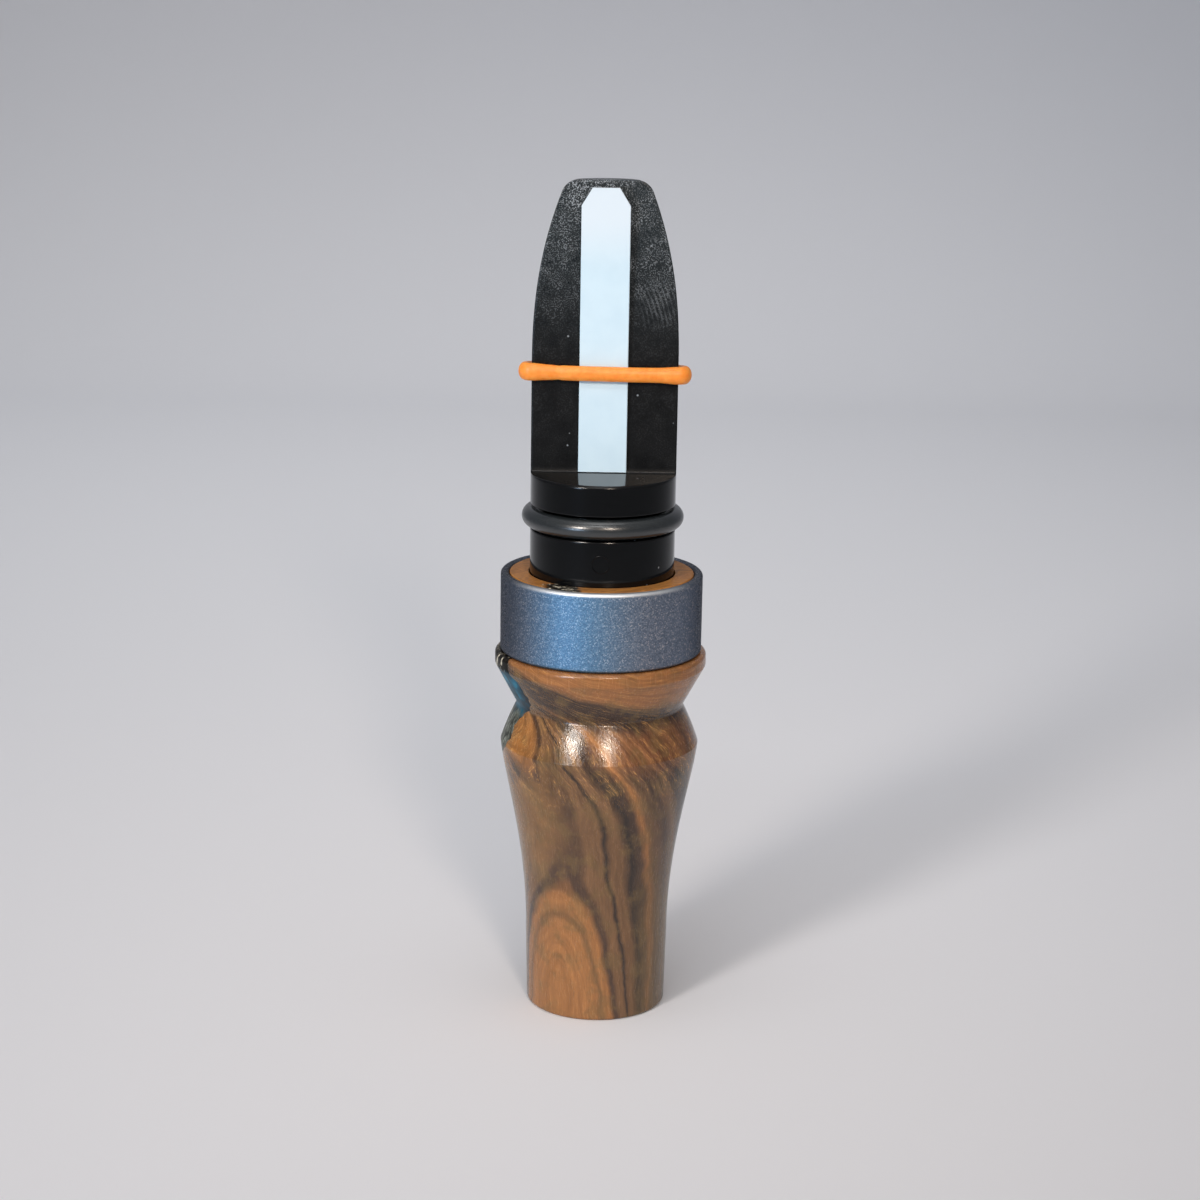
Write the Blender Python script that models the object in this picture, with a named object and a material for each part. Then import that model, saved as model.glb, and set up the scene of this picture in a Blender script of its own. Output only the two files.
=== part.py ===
"""Open-reed elk call: a turned hardwood barrel with a metal band, and the moulded insert that is pushed into it.

The call stands on its sound hole, at the origin. +Z runs up the bore and the reed faces -Y. Lengths are metres.
"""

import math

import bmesh
import bpy
from mathutils import Matrix, Vector

# Clearances between pieces
FIT_GAP = 0.00005
SOCKET_CLEARANCE = 0.00025
REED_GAP = 0.0001

# Insert: a 5/8 inch shank, and the tongue that stands on it
SHANK_DIAMETER = 0.015875
SHANK_DEPTH = 0.0127
SHANK_CHAMFER = 0.0005
INSERT_BORE_DIAMETER = 0.008
SHELF_RISE = 0.01105
SHELF_WEB = 0.0024
SHELF_EDGE = 0.0003
TONGUE_LENGTH = 0.0315
TONGUE_STRAIGHT = 0.0117
TONGUE_FULLNESS = 2.35
TIP_WIDTH = 0.0088
TIP_CORNER = 0.0012
TIP_THICKNESS = 0.0024
TIP_EDGE = 0.0002
TABLE_DROP = 0.0011
BACK_FULLNESS = 1.7
CHANNEL_WIDTH = 0.0032
CHANNEL_DEPTH = 0.0030
CHANNEL_END_DEPTH = 0.0010
CHANNEL_SETBACK = 0.0060
CHANNEL_SILL = 0.0002

# O-rings: 2.2 mm section, the upper one free and the lower one squeezed in the socket
O_RING_SECTION = 0.0022
GROOVE_DEPTH = 0.00133
GROOVE_PLAY = 0.00045
UPPER_RING_DROP = 0.00475
LOWER_RING_RISE = 0.00635

# Reed: a strip of polyester film, and the elastic band that holds it down
REED_WIDTH = 0.00525
REED_THICKNESS = 0.00035
REED_SETBACK = 0.00073
REED_TIP_WIDTH = 0.0029
REED_TIP_CUT = 0.0019
REED_PIVOT_RISE = 0.005
REED_BAND_RISE = 0.01095
REED_BAND_THICKNESS = 0.00125
REED_BAND_WIDTH = 0.00185

# Metal band, 7/8 inch outside, and the tenon of the barrel that it is pressed on
TENON_WALL = 0.00193
BAND_WALL = 0.0009450
BAND_HEIGHT = 0.00875
BAND_EDGE = 0.0003
BAND_PROUD = 0.00005

# Barrel, from the sound hole up
BASE_DIAMETER = 0.01557
BASE_ROUND = 0.0004
EXIT_DIAMETER = 0.0115
EXIT_DEPTH = 0.006
AIR_BORE_DIAMETER = 0.0095
WAIST_DIAMETER = 0.01595
FOOT_LENGTH = 0.00876
FLARE_LENGTH = 0.02186
FLARE_START_HANDLE = 0.0099
FLARE_END_HANDLE = 0.0039
FLARE_END_SLOPE = 0.08
SHOULDER_RISE = 0.00181
SHOULDER_LENGTH = 0.00433
RIDGE_ROUND = 0.0002
NECK_DEPTH = 0.0025
NECK_ROUND = 0.0005
LIP_FLARE_LENGTH = 0.00465
LIP_OVERHANG = 0.00056
LIP_THICKNESS = 0.00143
LIP_ROUND = 0.00045
TENON_ROUND = 0.0002

# Resin cast into a natural split on the left of the lip
RESIN_LENGTH = 0.0074
RESIN_WIDTH = 0.0046
RESIN_DEPTH = 0.0012
RESIN_AZIMUTH = math.radians(192)
RESIN_SLANT = math.radians(24)

# Facets
SEGMENTS = 56
ROUND_STEPS = 3
FLARE_STEPS = 9
OGIVE_STEPS = 9
SECTION_SIDES = 10
RESIN_SIDES = 20

# Sizes that follow from those above
SHANK_RADIUS = SHANK_DIAMETER / 2
SOCKET_RADIUS = SHANK_RADIUS + SOCKET_CLEARANCE
TENON_RADIUS = SOCKET_RADIUS + TENON_WALL
BAND_INNER_RADIUS = TENON_RADIUS + FIT_GAP
BAND_RADIUS = BAND_INNER_RADIUS + BAND_WALL
LIP_RADIUS = BAND_RADIUS + LIP_OVERHANG
NECK_RADIUS = LIP_RADIUS - NECK_DEPTH
RIDGE_RADIUS = NECK_RADIUS + SHOULDER_RISE
RIDGE_HEIGHT = FOOT_LENGTH + FLARE_LENGTH
NECK_HEIGHT = RIDGE_HEIGHT + SHOULDER_LENGTH
LIP_HEIGHT = NECK_HEIGHT + LIP_FLARE_LENGTH
LIP_TOP = LIP_HEIGHT + LIP_THICKNESS
BAND_BOTTOM = LIP_TOP + FIT_GAP
BARREL_TOP = BAND_BOTTOM + BAND_HEIGHT - BAND_PROUD
SOCKET_FLOOR = BARREL_TOP - SHANK_DEPTH - FIT_GAP
SHELF = SHANK_DEPTH + SHELF_RISE
TIP = SHELF + TONGUE_LENGTH
GROOVE_RADIUS = SHANK_RADIUS - GROOVE_DEPTH
GROOVE_WIDTH = O_RING_SECTION + GROOVE_PLAY
RING_INNER_RADIUS = GROOVE_RADIUS + FIT_GAP
UPPER_RING = SHELF - UPPER_RING_DROP
REED_FACE = REED_GAP + REED_THICKNESS


def clear_scene():
    for old in list(bpy.data.objects):
        bpy.data.objects.remove(old)


def srgb(code):
    """Linear RGBA of an sRGB hex colour."""
    parts = [int(code[i : i + 2], 16) / 255 for i in (1, 3, 5)]
    return [c / 12.92 if c <= 0.04045 else ((c + 0.055) / 1.055) ** 2.4 for c in parts] + [1]


def material(name, colour, roughness, metallic=0.0):
    made = bpy.data.materials.new(name)
    made.use_nodes = True
    shader = made.node_tree.nodes["Principled BSDF"]
    shader.inputs["Base Color"].default_value = srgb(colour)
    shader.inputs["Roughness"].default_value = roughness
    shader.inputs["Metallic"].default_value = metallic
    return made


def place(obj, parent, location, finish, sharp_angle=30):
    """Gives a piece its place, finish and smooth shading."""
    obj.parent = parent
    obj.location = location
    obj.data.materials.append(finish)
    obj.data.shade_smooth()
    obj.data.set_sharp_from_angle(angle=math.radians(sharp_angle))
    return obj


def pivot(name, parent, location):
    """An empty that carries the pieces of one moving body."""
    empty = bpy.data.objects.new(name, None)
    empty.empty_display_size = SHANK_RADIUS
    bpy.context.scene.collection.objects.link(empty)
    empty.parent = parent
    empty.location = location
    return empty


def mesh_object(name, mesh_maker):
    """An object whose mesh is what mesh_maker leaves in a new bmesh, merged and facing out."""
    mesh = bpy.data.meshes.new(name)
    work = bmesh.new()
    mesh_maker(work)
    bmesh.ops.remove_doubles(work, verts=work.verts, dist=1e-7)
    bmesh.ops.recalc_face_normals(work, faces=work.faces)
    work.to_mesh(mesh)
    work.free()
    obj = bpy.data.objects.new(name, mesh)
    bpy.context.scene.collection.objects.link(obj)
    return obj


def rounded(corners):
    """Closed outline of points: each corner (x, y, radius) becomes a tangent arc, or stays a point at radius 0."""
    points = []
    for i, (x, y, radius) in enumerate(corners):
        corner = Vector((x, y))
        if radius == 0:
            points.append(corner)
            continue
        back = (Vector(corners[i - 1][:2]) - corner).normalized()
        ahead = (Vector(corners[(i + 1) % len(corners)][:2]) - corner).normalized()
        half_angle = back.angle(ahead) / 2
        centre = corner + (back + ahead).normalized() * radius / math.sin(half_angle)
        first = corner + back * radius / math.tan(half_angle) - centre
        turn = first.angle_signed(corner + ahead * radius / math.tan(half_angle) - centre)
        for step in range(ROUND_STEPS + 1):
            spoke = first.copy()
            spoke.rotate(Matrix.Rotation(-turn * step / ROUND_STEPS, 2))
            points.append(centre + spoke)
    return points


def bezier(start, start_handle, end_handle, end, steps):
    """Points strictly between the ends of a cubic curve."""
    points = []
    for i in range(1, steps):
        t = i / steps
        points.append(
            (1 - t) ** 3 * start
            + 3 * (1 - t) ** 2 * t * start_handle
            + 3 * (1 - t) * t**2 * end_handle
            + t**3 * end
        )
    return points


def lathe(name, outline):
    """A turned piece: a closed outline of (radius, height) points, spun about Z."""

    def spin(work):
        verts = [work.verts.new((x, 0, z)) for x, z in outline]
        edges = [work.edges.new((v, verts[i - 1])) for i, v in enumerate(verts)]
        bmesh.ops.spin(
            work, geom=verts + edges, axis=(0, 0, 1), cent=(0, 0, 0), angle=math.tau, steps=SEGMENTS, use_merge=True
        )

    return mesh_object(name, spin)


def skin(name, loops, ring=False):
    """A piece drawn over loops of points, closed by caps, or round into a ring."""

    def stretch(work):
        rows = [[work.verts.new(p) for p in loop] for loop in loops]
        count = len(rows[0])
        for above, below in zip(rows[1:], rows):
            for i in range(count):
                work.faces.new((below[i - 1], below[i], above[i], above[i - 1]))
        if ring:
            for i in range(count):
                work.faces.new((rows[-1][i - 1], rows[-1][i], rows[0][i], rows[0][i - 1]))
        else:
            work.faces.new(rows[0])
            work.faces.new(rows[-1])

    return mesh_object(name, stretch)


def combine(target, tool, operation):
    """A Boolean on target, with its tool hidden from the finished model."""
    tool.hide_render = True
    tool.display_type = "WIRE"
    modifier = target.modifiers.new(tool.name, "BOOLEAN")
    modifier.operation = operation
    modifier.object = tool


def ring_section(radial, axial, squareness, inner_radius):
    """Outline of a rubber ring's section. Squareness 2 is an ellipse, and more is squeezed flat on its sides."""
    points = []
    for i in range(SECTION_SIDES):
        turn = math.tau * (i + 0.5) / SECTION_SIDES
        x = math.copysign(abs(math.cos(turn)) ** (2 / squareness), math.cos(turn))
        z = math.copysign(abs(math.sin(turn)) ** (2 / squareness), math.sin(turn))
        points.append((x, z))
    widest = max(x for x, z in points)
    tallest = max(z for x, z in points)
    middle = inner_radius + radial / 2
    return [Vector((middle + x / widest * radial / 2, z / tallest * axial / 2)) for x, z in points]


def barrel_outside():
    """Corners of the barrel's outside, from the base to the lip's top edge."""
    waist = Vector((WAIST_DIAMETER / 2, FOOT_LENGTH))
    ridge = Vector((RIDGE_RADIUS, RIDGE_HEIGHT))
    flare = bezier(
        waist,
        waist + Vector((0, FLARE_START_HANDLE)),
        ridge - Vector((FLARE_END_SLOPE, 1)) * FLARE_END_HANDLE,
        ridge,
        FLARE_STEPS,
    )
    return [
        (BASE_DIAMETER / 2, 0, BASE_ROUND),
        (*waist, 0),
        *((x, z, 0) for x, z in flare),
        (*ridge, RIDGE_ROUND),
        (NECK_RADIUS, NECK_HEIGHT, NECK_ROUND),
        (LIP_RADIUS, LIP_HEIGHT, LIP_ROUND),
        (LIP_RADIUS, LIP_TOP, LIP_ROUND),
    ]


def barrel_bore():
    """Corners of the barrel's tenon, socket and air bore, from the lip down to the sound hole."""
    return [
        (TENON_RADIUS, LIP_TOP, 0),
        (TENON_RADIUS, BARREL_TOP, TENON_ROUND),
        (SOCKET_RADIUS, BARREL_TOP, TENON_ROUND),
        (SOCKET_RADIUS, SOCKET_FLOOR, 0),
        (AIR_BORE_DIAMETER / 2, SOCKET_FLOOR, 0),
        (AIR_BORE_DIAMETER / 2, EXIT_DEPTH, 0),
        (EXIT_DIAMETER / 2, 0, 0),
    ]


def resin_drop(name, shrink):
    """The long drop that fills the split: an ellipsoid lying in the cone under the lip, slanting to the front."""

    def drop(work):
        bmesh.ops.create_uvsphere(work, u_segments=RESIN_SIDES, v_segments=RESIN_SIDES // 2, radius=1)

    obj = mesh_object(name, drop)
    lean = math.atan2(NECK_DEPTH, LIP_FLARE_LENGTH)
    middle = Vector((LIP_RADIUS - NECK_DEPTH / 2, 0, NECK_HEIGHT + LIP_FLARE_LENGTH / 2))
    size = Vector((RESIN_DEPTH - shrink, RESIN_WIDTH / 2 - shrink, RESIN_LENGTH / 2 - shrink))
    obj.data.transform(
        Matrix.Rotation(RESIN_AZIMUTH, 4, "Z")
        @ Matrix.Translation(middle)
        @ Matrix.Rotation(lean, 4, "Y")
        @ Matrix.Rotation(RESIN_SLANT, 4, "X")
        @ Matrix.Diagonal((*size, 1))
    )
    return obj


def make_barrel(parent):
    """The wooden barrel, with the resin cast into its split."""
    barrel = lathe("barrel", rounded(barrel_outside() + barrel_bore()))
    combine(barrel, resin_drop("resin_pocket", 0), "DIFFERENCE")
    place(barrel, parent, (0, 0, 0), material("oiled_hardwood", "#8A5A30", 0.42))
    resin = resin_drop("resin_fill", FIT_GAP)
    turned_core = [(0, 0, 0), *barrel_outside(), (0, LIP_TOP, 0)]
    combine(resin, lathe("resin_turning", rounded(turned_core)), "INTERSECT")
    place(resin, parent, (0, 0, 0), material("blue_resin", "#1F6F93", 0.2))


def make_metal_band(parent):
    """The anodised band round the tenon."""
    outline = [
        (BAND_INNER_RADIUS, 0, BAND_EDGE),
        (BAND_RADIUS, 0, BAND_EDGE),
        (BAND_RADIUS, BAND_HEIGHT, BAND_EDGE),
        (BAND_INNER_RADIUS, BAND_HEIGHT, BAND_EDGE),
    ]
    band = lathe("metal_band", rounded(outline))
    place(band, parent, (0, 0, BAND_BOTTOM), material("anodised_aluminium", "#56718F", 0.38, 1.0))


def table(height):
    """How far the table under the reed has curved back at a height on the insert."""
    return TABLE_DROP * ((height - SHELF) / TONGUE_LENGTH) ** 2


def tongue_half_width(height):
    """Half the tongue's width: straight, then drawn in more and more to the tip, whose corners are rounded."""
    start = SHELF + TONGUE_STRAIGHT
    along = max(0, (height - start) / (TIP - start))
    half_width = SHANK_RADIUS - (SHANK_RADIUS - TIP_WIDTH / 2) * along**TONGUE_FULLNESS
    into_corner = height - (TIP - TIP_CORNER)
    if into_corner > 0:
        half_width -= TIP_CORNER - math.sqrt(max(0, TIP_CORNER**2 - into_corner**2))
    return half_width


def tongue_thickness(height):
    """Depth from the table to the tongue's back, which falls away to the tip."""
    start = SHELF + TONGUE_STRAIGHT
    along = max(0, (height - start) / (TIP - start))
    back = SHANK_RADIUS - (SHANK_RADIUS - TABLE_DROP - TIP_THICKNESS) * along**BACK_FULLNESS
    return back - table(height)


def insert_loop(height, half_width, front, back, shift=0):
    """One level of the insert: a back half and a front half of an ellipse, the front flat where its depth is 0."""
    loop = []
    for i in range(SEGMENTS):
        turn = math.tau * i / SEGMENTS
        depth = back if math.sin(turn) > 0 else front
        loop.append((half_width * math.cos(turn), shift + depth * math.sin(turn), height))
    return loop


def round_loop(height, radius):
    return insert_loop(height, radius, radius, radius)


def groove_loops(middle):
    """The four levels of an O-ring groove."""
    low = middle - GROOVE_WIDTH / 2
    high = middle + GROOVE_WIDTH / 2
    return [
        round_loop(low, SHANK_RADIUS),
        round_loop(low, GROOVE_RADIUS),
        round_loop(high, GROOVE_RADIUS),
        round_loop(high, SHANK_RADIUS),
    ]


def tongue_loops():
    """The levels of the tongue, from the shelf to the tip: D-shaped, flat to the front."""
    start = SHELF + TONGUE_STRAIGHT
    corner = TIP - TIP_CORNER
    heights = [SHELF, SHELF + TONGUE_STRAIGHT / 2]
    heights += [start + (corner - start) * i / OGIVE_STEPS for i in range(OGIVE_STEPS)]
    for i in range(ROUND_STEPS + 1):
        heights.append(corner + (TIP_CORNER - TIP_EDGE) * math.sin(math.pi / 2 * i / ROUND_STEPS))
    loops = [insert_loop(z, tongue_half_width(z), 0, tongue_thickness(z), table(z)) for z in heights]
    end_width = tongue_half_width(heights[-1]) - TIP_EDGE
    end_thickness = tongue_thickness(TIP) - 2 * TIP_EDGE
    loops.append(insert_loop(TIP, end_width, 0, end_thickness, table(TIP) + TIP_EDGE))
    return loops


def channel_loop(height, half_width, front, back):
    """One level of the tone channel: a slot from the table's side to its floor, with a point at the sill between."""
    right = [(half_width, front, height), (half_width, CHANNEL_SILL, height), (half_width, back, height)]
    left = [(-x, y, z) for x, y, z in reversed(right)]
    return right + left


def tone_channel():
    """The slot under the reed: open along the table, round at its end, and joined to the bore behind the shelf."""
    half_width = CHANNEL_WIDTH / 2
    bottom = SHELF - SHELF_WEB - CHANNEL_DEPTH
    sill = SHELF + CHANNEL_SILL
    end = TIP - CHANNEL_SETBACK
    bend = end - half_width
    proud = -2 * REED_FACE

    def floor(height):
        along = (height - sill) / (end - sill)
        return table(height) + CHANNEL_DEPTH + (CHANNEL_END_DEPTH - CHANNEL_DEPTH) * along

    loops = [
        channel_loop(bottom, half_width, CHANNEL_SILL, CHANNEL_DEPTH),
        channel_loop(sill, half_width, CHANNEL_SILL, CHANNEL_DEPTH),
        channel_loop(sill, half_width, proud, CHANNEL_DEPTH),
    ]
    for i in range(2 * ROUND_STEPS):
        turn = math.pi / 2 * i / (2 * ROUND_STEPS)
        height = bend + half_width * math.sin(turn)
        loops.append(channel_loop(height, half_width * math.cos(turn), proud, floor(height)))
    return skin("tone_channel", loops)


def make_toneboard(parent):
    """The moulded insert: bored shank with two grooves, shelf, and the tongue that carries the reed."""
    bore = INSERT_BORE_DIAMETER / 2
    loops = [
        round_loop(SHELF - SHELF_WEB, bore),
        round_loop(0, bore),
        round_loop(0, SHANK_RADIUS - SHANK_CHAMFER),
        round_loop(SHANK_CHAMFER, SHANK_RADIUS),
        *groove_loops(LOWER_RING_RISE),
        *groove_loops(UPPER_RING),
        round_loop(SHELF - SHELF_EDGE, SHANK_RADIUS),
        insert_loop(SHELF, SHANK_RADIUS, SHANK_RADIUS - SHELF_EDGE, SHANK_RADIUS),
        *tongue_loops(),
    ]
    toneboard = skin("toneboard", loops)
    channel = tone_channel()
    channel.parent = parent
    combine(toneboard, channel, "DIFFERENCE")
    place(toneboard, parent, (0, 0, 0), material("black_moulding", "#0E0F10", 0.16))


def make_o_rings(parent):
    """Two equal rubber rings: one showing, and one squeezed between its groove and the socket."""
    rubber = material("black_rubber", "#1B1E20", 0.5)
    free = ring_section(O_RING_SECTION, O_RING_SECTION, 2, RING_INNER_RADIUS)
    place(lathe("upper_o_ring", free), parent, (0, 0, UPPER_RING), rubber, 60)
    room = SOCKET_RADIUS - FIT_GAP - RING_INNER_RADIUS
    squeezed = ring_section(room, GROOVE_WIDTH - 2 * FIT_GAP, 3.5, RING_INNER_RADIUS)
    place(lathe("lower_o_ring", squeezed), parent, (0, 0, LOWER_RING_RISE), rubber, 60)


def make_reed(parent):
    """The film reed, its origin on the line it flexes about."""
    low = SHELF + REED_GAP - (SHELF + REED_PIVOT_RISE)
    high = TIP - REED_SETBACK - (SHELF + REED_PIVOT_RISE)
    cut = high - REED_TIP_CUT
    half = REED_WIDTH / 2
    tip = REED_TIP_WIDTH / 2
    outline = [(-half, low), (half, low), (half, cut), (tip, high), (-tip, high), (-half, cut)]
    faces = [[(x, y, z) for x, z in outline] for y in (-REED_THICKNESS / 2, REED_THICKNESS / 2)]
    place(skin("reed", faces), parent, (0, 0, 0), material("white_film", "#DDEBF5", 0.3))


def reed_band_path():
    """Middle line of the elastic band: (point, outward direction) round the tongue's back, its corners and the reed."""
    spread = FIT_GAP + REED_BAND_THICKNESS / 2
    stations = []
    for i in range(SEGMENTS // 2 + 1):
        outward = Vector((math.cos(math.tau * i / SEGMENTS), math.sin(math.tau * i / SEGMENTS), 0))
        stations.append((outward * (SHANK_RADIUS + spread), outward))
    lift = REED_FACE
    slope = math.atan2(lift, SHANK_RADIUS - REED_WIDTH / 2)
    for side in (-1, 1):
        corner = Vector((side * SHANK_RADIUS, 0, 0))
        turns = [(math.pi / 2 - slope) * i / ROUND_STEPS for i in range(1, ROUND_STEPS + 1)]
        for turn in turns if side < 0 else reversed(turns):
            outward = Vector((side * math.cos(turn), -math.sin(turn), 0))
            stations.append((corner + outward * spread, outward))
        if side < 0:
            for x in (-REED_WIDTH / 2, REED_WIDTH / 2):
                stations.append((Vector((x, -lift - spread, 0)), Vector((0, -1, 0))))
    return stations


def make_reed_band(parent):
    """The elastic band, oval in section, stretched round the tongue and the reed."""
    loops = []
    for middle, outward in reed_band_path():
        loop = []
        for i in range(SECTION_SIDES):
            turn = math.tau * i / SECTION_SIDES
            across = outward * math.cos(turn) * REED_BAND_THICKNESS / 2
            along = Vector((0, 0, math.sin(turn) * REED_BAND_WIDTH / 2))
            loop.append(middle + across + along)
        loops.append(loop)
    place(skin("reed_band", loops, ring=True), parent, (0, 0, 0), material("orange_rubber", "#F07A2E", 0.45), 60)


def main():
    clear_scene()
    call = pivot("elk_call", None, (0, 0, 0))
    make_barrel(call)
    make_metal_band(call)
    insert = pivot("insert", call, (0, 0, SOCKET_FLOOR + FIT_GAP))
    make_toneboard(insert)
    make_o_rings(insert)
    make_reed(pivot("reed_pivot", insert, (0, -REED_GAP - REED_THICKNESS / 2, SHELF + REED_PIVOT_RISE)))
    make_reed_band(pivot("reed_band_slide", insert, (0, 0, SHELF + REED_BAND_RISE)))


main()
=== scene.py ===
"""Looks of an open-reed elk call: turned hardwood barrel, anodised band, and the black insert with its reed.

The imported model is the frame, and every piece is drawn in it: metres, +Z up the bore, the reed facing -Y.
"""

import math

import bmesh
import bpy
from mathutils import Matrix, Vector


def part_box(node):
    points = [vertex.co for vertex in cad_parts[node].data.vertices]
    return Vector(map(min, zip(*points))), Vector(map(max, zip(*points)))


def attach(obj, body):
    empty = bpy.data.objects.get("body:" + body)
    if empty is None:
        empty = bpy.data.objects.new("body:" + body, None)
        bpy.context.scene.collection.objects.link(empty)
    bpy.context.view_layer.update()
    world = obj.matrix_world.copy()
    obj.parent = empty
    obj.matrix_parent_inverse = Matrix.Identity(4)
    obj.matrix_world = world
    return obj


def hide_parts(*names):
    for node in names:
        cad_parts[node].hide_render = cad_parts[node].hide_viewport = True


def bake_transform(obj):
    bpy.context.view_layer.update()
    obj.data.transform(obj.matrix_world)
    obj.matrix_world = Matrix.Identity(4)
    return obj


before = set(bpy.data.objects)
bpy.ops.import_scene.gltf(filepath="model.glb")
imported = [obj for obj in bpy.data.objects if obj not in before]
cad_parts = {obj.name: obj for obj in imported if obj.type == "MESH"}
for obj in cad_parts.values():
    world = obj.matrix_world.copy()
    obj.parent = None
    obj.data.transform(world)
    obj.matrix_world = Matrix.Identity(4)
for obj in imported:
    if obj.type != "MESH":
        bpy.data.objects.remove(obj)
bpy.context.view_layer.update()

MM = 0.001

# Camera: a 79 mm lens on a 36 mm sensor, a little above the call and turned slightly about its view line
CAMERA_PLACE = Vector((-0.15 * MM, -282.3 * MM, 116.3 * MM))
CAMERA_PITCH = math.radians(13.889)
CAMERA_ROLL = math.radians(0.93)
LENS = 79.12
SENSOR_WIDTH = 36
CLIP_START = 10 * MM

# Sizes read from the frame
BARREL_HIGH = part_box("barrel")[1]
BAND_LOW, BAND_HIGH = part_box("metal_band")
INSERT_LOW, INSERT_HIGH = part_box("toneboard")
UPPER_RING_LOW, UPPER_RING_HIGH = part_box("upper_o_ring")
LOWER_RING_LOW, LOWER_RING_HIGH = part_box("lower_o_ring")
REED_LOW, REED_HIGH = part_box("reed")
REED_BAND_LOW, REED_BAND_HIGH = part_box("reed_band")
BARREL_TOP = BARREL_HIGH.z
LIP_RADIUS = BARREL_HIGH.x
SHANK_RADIUS = INSERT_HIGH.x
SHANK_BOTTOM = INSERT_LOW.z
TIP = INSERT_HIGH.z

# Barrel
BASE_RADIUS = 7.785 * MM
BASE_ROUND = 0.4 * MM
WAIST = Vector((7.975 * MM, 8.76 * MM))
RIDGE = Vector((LIP_RADIUS - 0.69 * MM, 30.62 * MM))
WAIST_HANDLE = Vector((0, 9.9 * MM))
RIDGE_HANDLE = Vector((0.31 * MM, 3.9 * MM))
NECK = Vector((LIP_RADIUS - 2.5 * MM, 34.95 * MM))
FLARE_STEPS = 40
SHOULDER_BULGE = 0.09 * MM
SHOULDER_SHARES = (0.16, 0.27, 0.38, 0.5, 0.62, 0.73, 0.84)
RIDGE_ROUND = 0.15 * MM
NECK_ROUND = 0.5 * MM
LIP_HEIGHT = 39.6 * MM
LIP_TOP = 41.03 * MM
LIP_ROUND = 0.45 * MM
TENON_RADIUS = 10.1175 * MM
TENON_ROUND = 0.15 * MM
SOCKET_RADIUS = SHANK_RADIUS + 0.25 * MM
SOCKET_FLOOR = SHANK_BOTTOM - 0.05 * MM
MOUTH_RADIUS = SHANK_RADIUS + 0.12 * MM
MOUTH_DEPTH = 1.2 * MM
MOUTH_TAPER = 0.6 * MM
MOUTH_ROUND = 0.06 * MM
AIR_BORE_RADIUS = 4.75 * MM
AIR_BORE_ROUND = 0.2 * MM
EXIT_RADIUS = 5.75 * MM
EXIT_DEPTH = 6 * MM
EXIT_BEND = 0.5 * MM
EXIT_ROUND = 0.2 * MM

# Resin streak: height in millimetres, its edges in degrees round from the front, and depth in millimetres
RESIN_STREAK = (
    (26.0, -92, -90, 0.1), (28.0, -97, -88, 0.4), (29.5, -103, -79, 0.6),
    (30.5, -108, -70, 0.7), (31.5, -106, -67, 0.9), (32.6, -112, -68, 0.9),
    (33.5, -108, -66, 0.9), (34.6, -104, -61, 1.0), (35.3, -109, -52, 1.1),
    (36.2, -115, -50, 1.2), (37.0, -110, -49, 1.3), (38.0, -103, -52, 1.4),
    (38.8, -106, -53, 1.4), (39.6, -100, -57, 1.4), (41.2, -96, -60, 1.4),
)
RESIN_WAVE = 0.25 * MM
RESIN_PROUD = 0.6 * MM
RESIN_EDGE = 0.1 * MM
RESIN_LEVELS = 96
RESIN_POINTS = 24
OUTER_SIDE = NECK.x - 0.4 * MM

# Metal band
BAND_RADIUS = BAND_HIGH.x
BAND_INNER_RADIUS = TENON_RADIUS + 0.05 * MM
BAND_EDGE = 0.36 * MM

# Insert
SHELF = TIP - 31.5 * MM
SHELF_EDGE = 0.35 * MM
SHELF_FILLET = 0.15 * MM
BORE_RADIUS = 4 * MM
BORE_TOP = SHELF - 2.4 * MM
SHANK_CHAMFER = 0.5 * MM
GROOVE_RADIUS = SHANK_RADIUS - 1.33 * MM
GROOVE_WIDTH = 2.65 * MM
GROOVE_EDGE = 0.15 * MM
GROOVE_EASE = 0.3 * GROOVE_EDGE
RING_GAP = 0.05 * MM
RING_SIDES = 40
MOULD_MARK = Vector((-0.15 * MM, 52.3 * MM))
MOULD_MARK_RADIUS = 0.95 * MM
MOULD_MARK_WIDTH = 0.13 * MM
MOULD_MARK_RISE = 0.013 * MM
MOULD_MARK_STEPS = 64
MOULD_MARK_SIDES = 10
TAPER_START = SHELF + 11.7 * MM
TAPER_FULLNESS = 2.35
TIP_HALF_WIDTH = 4.4 * MM
TIP_CORNER = 1.2 * MM
TIP_THICKNESS = 2.4 * MM
TABLE_DROP = 1.1 * MM
TABLE_EDGE = 0.18 * MM
BACK_FULLNESS = 1.7
CHANNEL_HALF_WIDTH = 1.6 * MM
CHANNEL_DEPTH = 3 * MM
CHANNEL_END_DEPTH = 1 * MM
CHANNEL_END = TIP - 6 * MM
CHANNEL_SILL = 0.2 * MM

# Fineness of the insert: points round a level, and levels along the tongue
BACK_POINTS = 96
EDGE_POINTS = 6
TABLE_POINTS = 36
STRAIGHT_LEVELS = 12
TAPER_LEVELS = 40
CORNER_LEVELS = 14
TIP_LEVELS = 4
CHANNEL_LEVELS = 12
FIRST_LEVEL = 0.05
TIP_MARGIN = 0.02 * MM

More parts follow.
